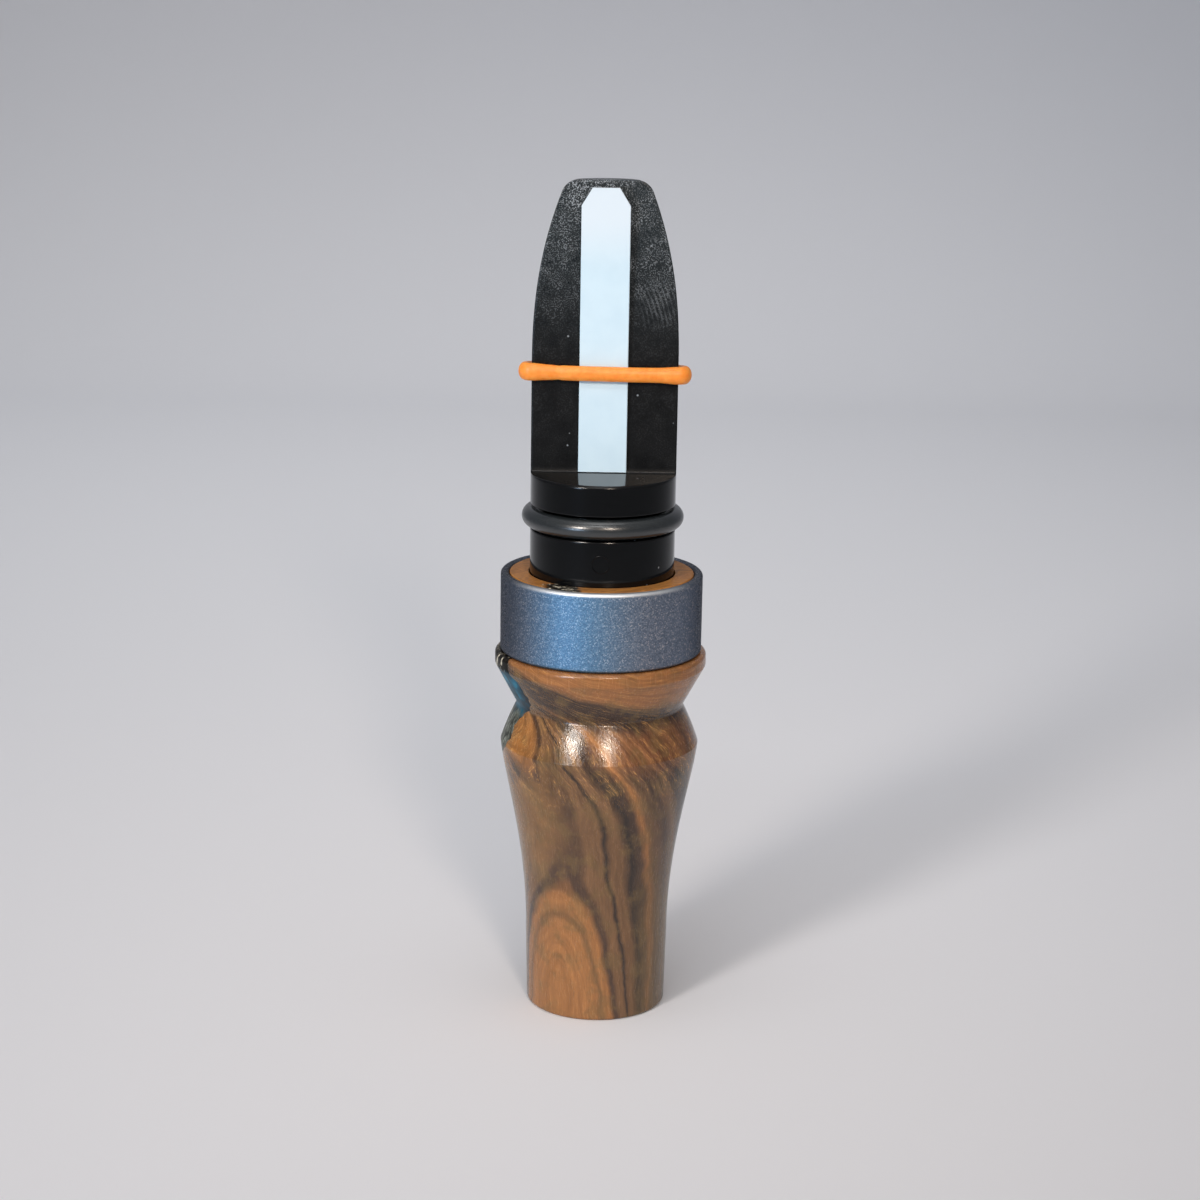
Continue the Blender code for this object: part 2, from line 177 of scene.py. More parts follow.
# Reed and its elastic band, with the band's swellings as shares of its thickness, and the steps of its route
REED_TIP_HALF_WIDTH = 1.45 * MM
REED_OFF_CENTRE = -0.15 * MM
REED_TIP_CUT = 1.9 * MM
REED_EDGE = 0.06 * MM
REED_LEVELS = 80
REED_CUT_LEVELS = 8
REED_BAND_THICKNESS = 1.25 * MM
REED_BAND_GAP = 0.05 * MM
REED_BAND_TILT = 0.012
REED_BAND_SAG = 0.12
REED_BAND_STRETCH = 0.93
REED_BAND_FULLER = 0.17
REED_BAND_FULLER_REACH = 1.5 * MM
REED_BAND_NIP = -5 * MM
REED_BAND_NIP_DEPTH = 0.08
REED_BAND_NIP_REACH = 0.3 * MM
REED_BAND_SIDES = 28
REED_BAND_ON_REED = 6
REED_BAND_TO_EDGE = 14
REED_BAND_ROUND_EDGE = 12
REED_BAND_ROUND_BACK = 32

# Lamps: name, degrees round from the front, degrees up, metres away, metres wide, metres high, degrees of
# spread, watts and colour. The backdrop's lamp has a place and a target of its own, and the last five.
LAMP_TARGET = Vector((0, 0, 40 * MM))
LAMPS = (
    ("left_front", -34, 26, 0.5, 0.1, 0.085, 50, 0.085, "#FFF4EA"),
    ("low_left", -38, 4, 0.5, 0.12, 0.12, 50, 0.04, "#C2E0FF"),
    ("right_front", 11, 26, 0.5, 0.075, 0.065, 50, 0.058, "#FFECDA"),
    ("front_strip", -10, 50, 0.5, 0.45, 0.05, 60, 0.055, "#FFFFFF"),
)
BACKDROP_LAMP_PLACE = Vector((-0.06, 0.1, 0.55))
BACKDROP_LAMP_TARGET = Vector((-0.06, 0.34, 0))
BACKDROP_LAMP = (0.5, 0.5, 70, 0.3, "#FFFFFF")
ROOM_COLOURS = ((0.0, "#BCBEC4"), (0.56, "#BCBEC4"), (0.75, "#D4D6DC"), (1.0, "#F4F5F8"))
ROOM_STRENGTH = 0.38

# Floor and backdrop, in metres
FLOOR_REACH = 4
FLOOR_BEND_START = 0.4
FLOOR_BEND_RADIUS = 0.12
FLOOR_BEND_STEPS = 24
BACKDROP_HEIGHT = 1.2
FLOOR_COLOUR = "#E6E7EB"
FLOOR_ROUGHNESS = 0.7

# Fineness of the turned pieces, and of every mesh
SEGMENTS = 192
ROUND_STEPS = 6
TURNING_CORE = 1 * MM
EDGE_HOLD = 0.04 * MM
MERGE_DISTANCE = 1e-7

# Wood: growth rings round a bent pith, in millimetres. The polynomials run on z / PITH_MIDDLE - 1.
PITH_MIDDLE = 20
PITH_SOFTNESS = 0.5
PITH_X = (-0.66, -3.86, -7.39, -0.75, -2.1)
PITH_Y = (7.48, 12.61, -1.36, -1.86, -4.73)
PITH_RISE = (-4.8, -0.39)
RING_SPAN = 18
RING_WANDER = 1.4
ZONE_WANDER = 20
HONEY = "#98673C"
TAN = "#7C5837"
BROWN = "#6F5137"
UMBER = "#4A372B"
DARK = "#2C2420"
RINGS = (
    (0.0, HONEY), (1.7, HONEY), (2.2, TAN), (2.8, HONEY), (3.15, HONEY), (3.7, UMBER),
    (3.95, UMBER), (4.3, BROWN), (4.95, BROWN), (5.2, DARK), (5.5, BROWN), (6.0, BROWN),
    (6.7, DARK), (7.5, UMBER), (8.05, HONEY), (8.5, BROWN), (9.5, UMBER), (10.5, BROWN),
    (11.1, UMBER), (12.1, DARK), (13.2, BROWN), (14.2, UMBER), (15.5, BROWN), (18.0, HONEY),
)
PLAIN_WOOD = "#856039"
OLIVE_WOOD = "#6E5836"
RED_WOOD = "#8C5732"
DARK_WOOD = "#30241F"
PORE = "#3A2C22"
GOLD_WOOD = "#9A6329"
GOLD_FLECK = "#D09A58"
END_GRAIN = "#B47C3C"
END_GRAIN_HEIGHTS = (48.6, 49.2)

# Zones where the wood leaves the colours of its rings: colour, strength, and the values that bound the zone.
# Each is a value's name and the span in which it fades the zone in, or out with 1, 0. Drift is a height that
# wanders.
WOOD_ZONES = (
    (PLAIN_WOOD, 0.8, ("x", -7, -2, 1, 0), ("drift", 14, 21), ("drift", 28.5, 31, 1, 0)),
    (GOLD_WOOD, 0.6, ("x", -9, -6, 1, 0), ("z", 28.5, 30.5), ("z", 33.5, 35.2, 1, 0)),
    (RED_WOOD, 0.4, ("x", -3, 3), ("z", 28, 31), ("z", 33, 34.8, 1, 0)),
    (DARK_WOOD, 0.9, ("growth", 6, 9.5), ("growth", 14.8, 17.2, 1, 0), ("z", 33.6, 35.2)),
    (OLIVE_WOOD, 1.0, ("clouds", 0.46, 0.64), ("z", 34, 37, 0.45, 0.55)),
    (RED_WOOD, 0.35, ("growth", 15, 18), ("z", 36, 38)),
    (OLIVE_WOOD, 0.5, ("x", 3.5, 6), ("z", 12, 20, 1, 0)),
)

# Colours of the other finishes
RESIN_COLOURS = ((0.3, "#08303C"), (0.5, "#0A536A"), (0.7, "#1C7C98"))
LOW_BARK = ((0.34, "#191815"), (0.47, "#44473F"), (0.58, "#787C72"), (0.68, "#A6A99F"))
TOP_BARK = ((0.48, "#100E0B"), (0.56, "#2C261D"), (0.62, "#C9C3B0"))
BLUE_DYE = ((0.0, "#527898"), (0.6, "#648FB3"), (0.85, "#7AA0C0"), (1.0, "#A4BFD6"))
# Painted shade: the grey that the band takes towards both sides
PAINTED_GREY_SIDES = ((0.0, "#697586"), (0.6, "#7F8B9D"), (0.85, "#989EAC"), (1.0, "#C8C4C8"))
SLANTED_DYE = "#3C3A44"
# Painted highlight: near white for the front of the band's upper rim
PAINTED_RIM_HIGHLIGHT = "#ECEEF0"
BLACK_PLASTIC = "#08090A"
# Painted sheen: the grey that the tongue takes towards its tip
PAINTED_TIP_SHEEN = "#1D2529"
PALE_PLASTIC = "#959CA2"
RUBBER_COLOURS = ((0.35, "#15191B"), (0.7, "#24292B"))
FILM_COLOURS = ((0.3, "#CBE4F2"), (0.65, "#D0E8F5"))
FILM_TIP = "#DDEBF5"
FILM_TIP_HEIGHTS = (82, 89)
SILICONE_COLOURS = ((0.3, "#F48E2C"), (0.7, "#FEA146"))

# Thumb print on the tongue, in millimetres: its middle, the core that its ridges go round, and their scale
PRINT_PLACE = (5.6, 0.0, 79.4)
PRINT_CORE = (-5.7, 0.0, 75.3)
PRINT_SCALE = 0.67


def linear(code):
    """Linear RGBA of an sRGB hex colour."""
    parts = [int(code[i : i + 2], 16) / 255 for i in (1, 3, 5)]
    return [c / 12.92 if c <= 0.04045 else ((c + 0.055) / 1.055) ** 2.4 for c in parts] + [1]


def feed(tree, node, inputs):
    """Sets inputs of a node, each to a value or to the output that feeds it."""
    for key, value in inputs.items():
        if isinstance(value, bpy.types.NodeSocket):
            tree.links.new(value, node.inputs[key])
        else:
            node.inputs[key].default_value = value


def add(tree, kind, inputs=None, out=0, stops=(), **settings):
    """Adds a node with its settings, its inputs and the stops of its colour ramp. Hands back one output."""
    made = tree.nodes.new(kind)
    for key, value in settings.items():
        setattr(made, key, value)
    feed(tree, made, inputs or {})
    for i, (place, code) in enumerate(stops):
        ramp = made.color_ramp.elements
        stop = ramp[i] if i < 2 else ramp.new(place)
        stop.position = place
        stop.color = linear(code)
    return made.outputs[out] if made.outputs else None


def new_material(name):
    """A node material, its tree and its shader."""
    made = bpy.data.materials.new(name)
    made.use_nodes = True
    return made, made.node_tree, made.node_tree.nodes["Principled BSDF"]


def millimetres(tree):
    """The point on the piece in millimetres, so that a pattern's scale is 1 over a size in millimetres."""
    point = add(tree, "ShaderNodeTexCoord", out="Object")
    return add(tree, "ShaderNodeVectorMath", {0: point, "Scale": 1 / MM}, operation="SCALE")


def polynomial(tree, value, coefficients):
    """A polynomial of a value, with the highest power's coefficient first."""
    total = coefficients[0]
    for coefficient in coefficients[1:]:
        total = add(tree, "ShaderNodeMath", {0: total, 1: value, 2: coefficient}, operation="MULTIPLY_ADD")
    return total


def amount(tree, *factors):
    """All the factors multiplied. A factor is a number, an output, or a smooth change by an output.

    A smooth change is (output, low, high, first, last): it goes from first to last while the output goes
    from low to high. Without first and last it goes from 0 to 1.
    """
    total = None
    for factor in factors:
        if isinstance(factor, tuple):
            change = dict(enumerate(factor))
            factor = add(tree, "ShaderNodeMapRange", change, interpolation_type="SMOOTHSTEP")
        if total is None:
            total = factor
        else:
            total = add(tree, "ShaderNodeMath", {0: total, 1: factor}, operation="MULTIPLY")
    return total


def coated(tree, colour, coat, *factors):
    """A colour with another over it, by the amount that the factors make."""
    share = amount(tree, *factors)
    return add(tree, "ShaderNodeMix", {0: share, 6: colour, 7: coat}, out=2, data_type="RGBA")


def figured_hardwood():
    """Dark walnut-like hardwood, turned, sanded and oiled.

    Growth rings round a bent pith give the arches and the sweeping dark lines. Zones of other tints, fibres,
    open pores and gold flecks break them up, and the oiled sides have a soft gloss. The end grain on top is
    paler and duller, with crumbs of bark in one place.
    """
    made, tree, shader = new_material("oiled_figured_hardwood")
    mm = millimetres(tree)

    # Rings, by the distance from the pith
    wander = add(tree, "ShaderNodeTexNoise", {"Vector": mm, "Scale": 0.2, "Detail": 3.0}, out=1)
    wander = add(tree, "ShaderNodeVectorMath", {0: wander, 1: 3 * [-0.5]}, operation="ADD")
    bend = {0: wander, 1: 3 * [RING_WANDER], 2: mm}
    moved = add(tree, "ShaderNodeVectorMath", bend, operation="MULTIPLY_ADD")
    x, y, z = add(tree, "ShaderNodeSeparateXYZ", {0: moved}).node.outputs
    along = add(tree, "ShaderNodeMath", {0: z, 1: 1 / PITH_MIDDLE, 2: -1.0}, operation="MULTIPLY_ADD")
    from_x = add(tree, "ShaderNodeMath", {0: x, 1: polynomial(tree, along, PITH_X)}, operation="SUBTRACT")
    from_y = add(tree, "ShaderNodeMath", {0: y, 1: polynomial(tree, along, PITH_Y)}, operation="SUBTRACT")
    square = add(tree, "ShaderNodeMath", {0: from_x, 1: from_x, 2: PITH_SOFTNESS}, operation="MULTIPLY_ADD")
    square = add(tree, "ShaderNodeMath", {0: from_y, 1: from_y, 2: square}, operation="MULTIPLY_ADD")
    from_pith = add(tree, "ShaderNodeMath", {0: square}, operation="SQRT")
    growth = polynomial(tree, along, [*PITH_RISE, from_pith])
    rings = add(tree, "ShaderNodeMath", {0: growth, 1: 1 / RING_SPAN}, operation="MULTIPLY")
    stops = [(ring / RING_SPAN, code) for ring, code in RINGS]
    colour = add(tree, "ShaderNodeValToRGB", {0: rings}, stops=stops)

    # Zones of other tints
    sideways = add(tree, "ShaderNodeSeparateXYZ", {0: wander})
    drift = add(tree, "ShaderNodeMath", {0: sideways, 1: ZONE_WANDER, 2: z}, operation="MULTIPLY_ADD")
    spots = {"Vector": mm, "Scale": 0.45, "Detail": 4.0, "Roughness": 0.6}
    clouds = add(tree, "ShaderNodeTexNoise", spots)
    values = {"x": x, "z": z, "growth": growth, "drift": drift, "clouds": clouds}
    for code, strength, *limits in WOOD_ZONES:
        changes = [(values[name], *span) for name, *span in limits]
        colour = coated(tree, colour, linear(code), strength, *changes)

    # Streaks along the rings and upright fibres, bolder on the shoulder, painted light on its front, then
    # pores and flecks
    across = add(tree, "ShaderNodeCombineXYZ", {"X": growth})
    slow = add(tree, "ShaderNodeVectorMath", {0: mm, "Scale": 0.25}, operation="SCALE")
    layers = add(tree, "ShaderNodeVectorMath", {0: across, 1: 3 * [2.4], 2: slow}, operation="MULTIPLY_ADD")
    streaks = add(tree, "ShaderNodeTexNoise", {"Vector": layers, "Scale": 1.0, "Detail": 3.0})
    upright = add(tree, "ShaderNodeVectorMath", {0: moved, 1: (5.0, 5.0, 0.4)}, operation="MULTIPLY")
    threads = {"Vector": upright, "Scale": 1.0, "Detail": 3.0, "Roughness": 0.6}
    fibres = add(tree, "ShaderNodeTexNoise", threads)
    centred = add(tree, "ShaderNodeMath", {0: streaks, 1: -0.5}, operation="ADD")
    bold = amount(tree, (z, 24, 29, 0.8, 2.2), (z, 34, 36, 1, 0.4))
    lines = add(tree, "ShaderNodeMath", {0: centred, 1: bold, 2: 1.0}, operation="MULTIPLY_ADD")
    # Painted light: the shoulder faces up, so its front is painted up to 1.4 times lighter
    shoulder = amount(tree, (z, 29.4, 31.4), (z, 33.6, 35.4, 1, 0), (x, -6, -2), (x, 4, 8.5, 1, 0))
    shade = amount(tree, lines, (fibres, 0.3, 0.7, 0.91, 1.09), (shoulder, 0, 1, 1, 1.4))
    colour = add(tree, "ShaderNodeHueSaturation", {"Color": colour, "Value": shade})
    colour = coated(tree, colour, linear(PORE), (fibres, 0.66, 0.74, 0, 0.4))
    short = add(tree, "ShaderNodeVectorMath", {0: mm, "Scale": 1.6}, operation="SCALE")
    dashes = add(tree, "ShaderNodeVectorMath", {0: across, 1: 3 * [20], 2: short}, operation="MULTIPLY_ADD")
    flecks = add(tree, "ShaderNodeTexNoise", {"Vector": dashes, "Scale": 1.0, "Detail": 2.0})
    flecks = amount(tree, (flecks, 0.54, 0.68), (z, 24, 29.5, 0.06, 0.7), (streaks, 0.42, 0.6, 0.15, 1))
    colour = coated(tree, colour, linear(GOLD_FLECK), flecks)

    # The end grain on top, and the bark in it
    on_top = amount(tree, (z, *END_GRAIN_HEIGHTS))
    colour = coated(tree, colour, linear(END_GRAIN), on_top, (streaks, 0.4, 0.62, 0.25, 0.85))
    crumbs = add(tree, "ShaderNodeTexNoise", {"Vector": mm, "Scale": 2.2, "Detail": 3.0})
    ragged = add(tree, "ShaderNodeMath", {0: crumbs, 1: 2.0, 2: x}, operation="MULTIPLY_ADD")
    bark = add(tree, "ShaderNodeValToRGB", {0: crumbs}, stops=TOP_BARK)
    limits = (ragged, -5.2, -4.6), (ragged, -1.6, -1.2, 1, 0), (y, -6.6, -6, 1, 0)
    colour = coated(tree, colour, bark, on_top, *limits)

    # The oiled sides shine more than the top
    polish = amount(tree, (fibres, 0.35, 0.65, 0.13, 0.28))
    roughness = add(tree, "ShaderNodeMix", {0: on_top, 2: polish, 3: 0.42})
    specular = amount(tree, (on_top, 0, 1, 0.5, 0.15))
    normal = add(tree, "ShaderNodeBump", {"Height": fibres, "Distance": -0.018 * MM})
    look = {"Base Color": colour, "Roughness": roughness, "Specular IOR Level": specular, "Normal": normal}
    feed(tree, shader, look)
    return made


def cast_resin():
    """Blue pigmented resin, cast into a split of the blank and turned flush.

    Clouds of pigment, crumbs of bark above and below, ragged dark edges, and a low gloss.
    """
    made, tree, shader = new_material("blue_cast_resin")
    mm = millimetres(tree)
    x, y, z = add(tree, "ShaderNodeSeparateXYZ", {0: mm}).node.outputs
    swirls = {"Vector": mm, "Scale": 0.7, "Detail": 4.0, "Distortion": 0.6}
    clouds = add(tree, "ShaderNodeTexNoise", swirls)
    colour = add(tree, "ShaderNodeValToRGB", {0: clouds}, stops=RESIN_COLOURS)
    stringy = add(tree, "ShaderNodeVectorMath", {0: mm, 1: (2.0, 2.0, 0.8)}, operation="MULTIPLY")
    strings = {"Vector": stringy, "Scale": 1.0, "Detail": 5.0, "Roughness": 0.65}
    crumbs = add(tree, "ShaderNodeTexNoise", strings)
    uneven = add(tree, "ShaderNodeMath", {0: clouds, 1: 2.4, 2: z}, operation="MULTIPLY_ADD")
    low_bark = add(tree, "ShaderNodeValToRGB", {0: crumbs}, stops=LOW_BARK)
    colour = coated(tree, colour, low_bark, (uneven, 35.2, 36.6, 1, 0))
    top_bark = add(tree, "ShaderNodeValToRGB", {0: crumbs}, stops=TOP_BARK)
    colour = coated(tree, colour, top_bark, (uneven, 40.2, 40.9))
    for place, clear, dark in ((x, -7.6, -5.8), (y, 2.6, 4.2)):
        ragged = add(tree, "ShaderNodeMath", {0: crumbs, 1: 3.0, 2: place}, operation="MULTIPLY_ADD")
        colour = coated(tree, colour, linear(DARK_WOOD), (ragged, clear, dark, 0, 0.9))
    feed(tree, shader, {"Base Color": colour, "Roughness": 0.36, "Specular IOR Level": 0.08})
    return made


def anodised_aluminium():
    """Aluminium, fine-blasted and anodised blue: a soft metal sheen with the glitter of the blasted grains.

    The band is painted grey and darker towards both sides as painted shade, and stays blue a little left of
    the front, where the highlight falls; the front of the upper rim is painted nearly white, a painted
    highlight.
    The clear oxide over the dye reflects white at a slant. The grains are drawn 0.11 mm wide, coarser than
    blasting leaves them, so that they show.
    """
    made, tree, shader = new_material("blasted_blue_anodised_aluminium")
    mm = millimetres(tree)
    x, y, z = add(tree, "ShaderNodeSeparateXYZ", {0: mm}).node.outputs
    grains = add(tree, "ShaderNodeTexVoronoi", {"Vector": mm, "Scale": 9.0}, out="Color")
    grains = add(tree, "ShaderNodeSeparateColor", {0: grains})
    blue = add(tree, "ShaderNodeValToRGB", {0: grains}, stops=BLUE_DYE)
    # Painted shade: the band goes grey towards both sides, and stays blue only a little left of the front,
    # where the highlight falls
    grey = add(tree, "ShaderNodeValToRGB", {0: grains}, stops=PAINTED_GREY_SIDES)
    left = amount(tree, (x, -10.5, -4, 1, 0))
    right = amount(tree, (x, -2.5, 6))
    greyer = add(tree, "ShaderNodeMath", {0: left, 1: right}, operation="MAXIMUM")
    colour = coated(tree, blue, grey, greyer)
    # Painted shade: darker towards both sides
    aside = add(tree, "ShaderNodeMath", {0: x, 1: -0.8}, operation="ADD")
    aside = add(tree, "ShaderNodeMath", {0: aside}, operation="ABSOLUTE")
    darker = amount(tree, (aside, 7.5, 11, 1, 0.62))
    colour = add(tree, "ShaderNodeHueSaturation", {"Color": colour, "Value": darker})
    # Painted highlight: the front of the upper rim turns nearly white
    rim = BAND_HIGH.z / MM
    limits = (z, rim - 0.5, rim - 0.15, 0, 0.9), (y, -9.5, -5, 1, 0.1)
    colour = coated(tree, colour, linear(PAINTED_RIM_HIGHLIGHT), *limits)
    normal = add(tree, "ShaderNodeBump", {"Height": grains, "Distance": 0.006 * MM})
    feed(tree, shader, {"Base Color": colour, "Metallic": 1.0, "Roughness": 0.5, "Normal": normal})
    oxide = {"Coat Weight": 0.3, "Coat Roughness": 0.45, "Specular Tint": linear(SLANTED_DYE)}
    feed(tree, shader, oxide)
    return made


def moulded_plastic():
    """Black moulded plastic.

    The round shank keeps the mould's gloss, with eased rims and a polished shelf. The tongue is satin and
    greys towards its tip as painted sheen, with pale specks that thicken there, partly scratches and partly
    painted glints, a painted highlight at the top left of the tip, and the print of a thumb on its table. A
    few specks of dust lie all over.
    """
    made, tree, shader = new_material("black_moulded_plastic")
    mm = millimetres(tree)
    x, y, z = add(tree, "ShaderNodeSeparateXYZ", {0: mm}).node.outputs

    # Places along the insert, and how thickly pale specks and painted glints lie towards the tip
    shelf = SHELF / MM
    tip = TIP / MM
    groove = (UPPER_RING_LOW.z + UPPER_RING_HIGH.z - GROOVE_WIDTH) / 2 / MM
    on_tongue = amount(tree, (z, shelf + 0.02, shelf + 0.08))
    up_tongue = amount(tree, (z, shelf + 9, tip))
    shelf_rim = amount(tree, (z, shelf - 0.4, shelf - 0.3), (z, shelf - 0.06, shelf, 1, 0))
    groove_rim = amount(tree, (z, groove - 0.2, groove - 0.12), (z, groove - 0.04, groove, 1, 0))
    rims = add(tree, "ShaderNodeMath", {0: shelf_rim, 1: groove_rim}, operation="ADD")
    grit = add(tree, "ShaderNodeTexNoise", {"Vector": mm, "Scale": 8.0, "Detail": 1.0})
    patches = add(tree, "ShaderNodeTexNoise", {"Vector": mm, "Scale": 0.6, "Detail": 3.0})
    wear_and_sheen = amount(tree, (up_tongue, 0, 1, 0.04, 0.75))
    # Painted highlight: extra pale specks at the top left of the tip
    painted_tip_glint = amount(tree, 1.2, (x, 0.2, 1, 1, 0), (z, tip - 3.6, tip - 1.6))
    wear_and_sheen = add(tree, "ShaderNodeMath", {0: wear_and_sheen, 1: painted_tip_glint}, operation="ADD")
    specks = amount(tree, wear_and_sheen, on_tongue, (grit, 0.5, 0.66), (patches, 0.35, 0.65, 0.3, 1))

    # The print: fine ridges that fade out round its middle
    from_print = add(tree, "ShaderNodeVectorMath", {0: mm, 1: PRINT_PLACE}, operation="SUBTRACT")
    flat = add(tree, "ShaderNodeVectorMath", {0: from_print, 1: (1, 0, 1)}, operation="MULTIPLY")
    reach = add(tree, "ShaderNodeVectorMath", {0: flat}, out="Value", operation="LENGTH")
    from_core = add(tree, "ShaderNodeVectorMath", {0: mm, 1: PRINT_CORE}, operation="SUBTRACT")
    wave = {"Vector": from_core, "Scale": PRINT_SCALE, "Distortion": 1.6, "Detail": 2.0, "Detail Scale": 0.5}
    ridges = add(tree, "ShaderNodeTexWave", wave, out=1, wave_type="RINGS", rings_direction="Y")
    faint = (reach, 1.2, 3.4, 0.16, 0), (patches, 0.35, 0.6, 0.3, 1), (y, 0.7, 1, 1, 0)
    ridges = amount(tree, on_tongue, (ridges, 0.4, 1), *faint)
    pale = add(tree, "ShaderNodeMath", {0: specks, 1: ridges}, operation="ADD")

    # Dust, on about a quarter of the cells
    crumbs = add(tree, "ShaderNodeTexVoronoi", {"Vector": mm, "Scale": 0.8}).node.outputs
    drawn = add(tree, "ShaderNodeSeparateColor", {0: crumbs["Color"]})
    dust = amount(tree, (crumbs["Distance"], 0.06, 0.11, 0.8, 0), (drawn, 0.74, 0.76))
    pale = add(tree, "ShaderNodeMath", {0: pale, 1: dust}, operation="MAXIMUM")
    # Painted sheen: the tongue greys towards its tip
    colour = coated(tree, linear(BLACK_PLASTIC), linear(PAINTED_TIP_SHEEN), up_tongue, on_tongue)
    colour = coated(tree, colour, linear(PALE_PLASTIC), pale)

    # Gloss of the shank, satin of the tongue
    gloss = amount(tree, (rims, 0, 1, 0.09, 0.18))
    satin = amount(tree, (patches, 0.3, 0.7, 0.27, 0.34))
    roughness = add(tree, "ShaderNodeMix", {0: on_tongue, 2: gloss, 3: satin})
    on_shelf = amount(tree, (z, shelf - 0.06, shelf - 0.02), (on_tongue, 0, 1, 1, 0))
    specular = amount(tree, (on_shelf, 0, 1, 0.3, 0.65))
    normal = add(tree, "ShaderNodeBump", {"Height": amount(tree, grit, on_tongue), "Distance": 0.01 * MM})
    look = {"Base Color": colour, "Roughness": roughness, "Specular IOR Level": specular, "Normal": normal}
    feed(tree, shader, look)
    return made


def nitrile_rubber():
    """Black nitrile rubber, moulded: a dark, slightly grained skin with a soft, bright highlight."""
    made, tree, shader = new_material("moulded_nitrile_rubber")
    grain = add(tree, "ShaderNodeTexNoise", {"Vector": millimetres(tree), "Scale": 5.0, "Detail": 3.0})
    colour = add(tree, "ShaderNodeValToRGB", {0: grain}, stops=RUBBER_COLOURS)
    normal = add(tree, "ShaderNodeBump", {"Height": grain, "Distance": 0.01 * MM})
    look = {"Base Color": colour, "Roughness": 0.27, "Specular IOR Level": 1.0, "Normal": normal}
    feed(tree, shader, look)
    return made


def polyester_film():
    """Pale polyester film, slit from a sheet: milky and smooth, with faint marks of use and a paler tip."""
    made, tree, shader = new_material("pale_polyester_film")
    mm = millimetres(tree)
    marks = add(tree, "ShaderNodeTexNoise", {"Vector": mm, "Scale": 0.45, "Detail": 4.0})
    colour = add(tree, "ShaderNodeValToRGB", {0: marks}, stops=FILM_COLOURS)
    z = add(tree, "ShaderNodeSeparateXYZ", {0: mm}, out=2)
    colour = coated(tree, colour, linear(FILM_TIP), (z, *FILM_TIP_HEIGHTS))
    feed(tree, shader, {"Base Color": colour, "Roughness": 0.32})
    return made


def orange_silicone():
    """Orange silicone, cut from tube and stretched: a satin skin, with light that goes a little way in."""
    made, tree, shader = new_material("orange_silicone")
    mottle = add(tree, "ShaderNodeTexNoise", {"Vector": millimetres(tree), "Scale": 1.2, "Detail": 4.0})
    colour = add(tree, "ShaderNodeValToRGB", {0: mottle}, stops=SILICONE_COLOURS)
    feed(tree, shader, {"Base Color": colour, "Roughness": 0.42, "Subsurface Weight": 0.5})
    feed(tree, shader, {"Subsurface Scale": 0.6 * MM, "Subsurface Radius": (1.0, 0.5, 0.2)})
    return made


def plain_surface(name, code, roughness):
    """A plain matt surface for the stage, with no sheen."""
    made, tree, shader = new_material(name)
    feed(tree, shader, {"Base Color": linear(code), "Roughness": roughness, "Specular IOR Level": 0.0})
    return made


def show(obj):
    """Puts an object in the scene."""
    bpy.context.scene.collection.objects.link(obj)
    return obj


def baked(obj):
    """The object's evaluated shape as a plain mesh, with its modifiers gone."""
    bpy.context.view_layer.update()
    mesh = bpy.data.meshes.new_from_object(obj.evaluated_get(bpy.context.evaluated_depsgraph_get()))
    piece = show(bpy.data.objects.new(obj.name, mesh))
    name = obj.name
    bpy.data.objects.remove(obj)
    piece.name = name
    return piece


def face_out(mesh):
    """Merges doubles and turns every face outwards."""
    work = bmesh.new()
    work.from_mesh(mesh)
    bmesh.ops.remove_doubles(work, verts=work.verts, dist=MERGE_DISTANCE)
    bmesh.ops.recalc_face_normals(work, faces=work.faces)
    work.to_mesh(mesh)
    work.free()


def dress(piece, finish, node, sharp_angle=35):
    """Finishes a piece: faces, shading, material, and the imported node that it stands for."""
    face_out(piece.data)
    piece.data.shade_smooth()
    piece.data.set_sharp_from_angle(angle=math.radians(sharp_angle))
    piece.data.materials.clear()
    piece.data.materials.append(finish)
    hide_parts(node)
    return piece


def rounded(corners):
    """Closed outline of points: each corner (x, y, radius) becomes a tangent arc, or at radius 0 a point.

    A point just off each end of an arc keeps the faces beside it straight to the eye.
    """
    points = []
    for i, (x, y, radius) in enumerate(corners):
        corner = Vector((x, y))
        if radius == 0:
            points.append(corner)
            continue
        back = (Vector(corners[i - 1][:2]) - corner).normalized()
        ahead = (Vector(corners[(i + 1) % len(corners)][:2]) - corner).normalized()
        half_angle = back.angle(ahead) / 2
        centre = corner + (back + ahead).normalized() * radius / math.sin(half_angle)
        first = corner + back * radius / math.tan(half_angle) - centre
        turn = first.angle_signed(corner + ahead * radius / math.tan(half_angle) - centre)
        points.append(centre + first + back * EDGE_HOLD)
        for step in range(ROUND_STEPS + 1):
            spoke = first.copy()
            spoke.rotate(Matrix.Rotation(-turn * step / ROUND_STEPS, 2))
            points.append(centre + spoke)
        points.append(points[-1] + ahead * EDGE_HOLD)
    return points


def bezier(start, start_handle, end_handle, end, steps):
    """Points strictly between the ends of a cubic curve."""
    points = []
    for i in range(1, steps):
        t = i / steps
        points.append(
            (1 - t) ** 3 * start
            + 3 * (1 - t) ** 2 * t * start_handle
            + 3 * (1 - t) * t**2 * end_handle
            + t**3 * end
        )
    return points


def closed_curve(name, points, sizes=None):
    """A closed curve object through 3-D points, with the curve's own radius at each of them."""
    curve = bpy.data.curves.new(name, "CURVE")
    curve.dimensions = "3D"
    spline = curve.splines.new("POLY")
    spline.points.add(len(points) - 1)
    for i, point in enumerate(points):
        spline.points[i].co = (*point, 1)
        spline.points[i].radius = sizes[i] if sizes else 1
    spline.use_cyclic_u = True
    return show(bpy.data.objects.new(name, curve))


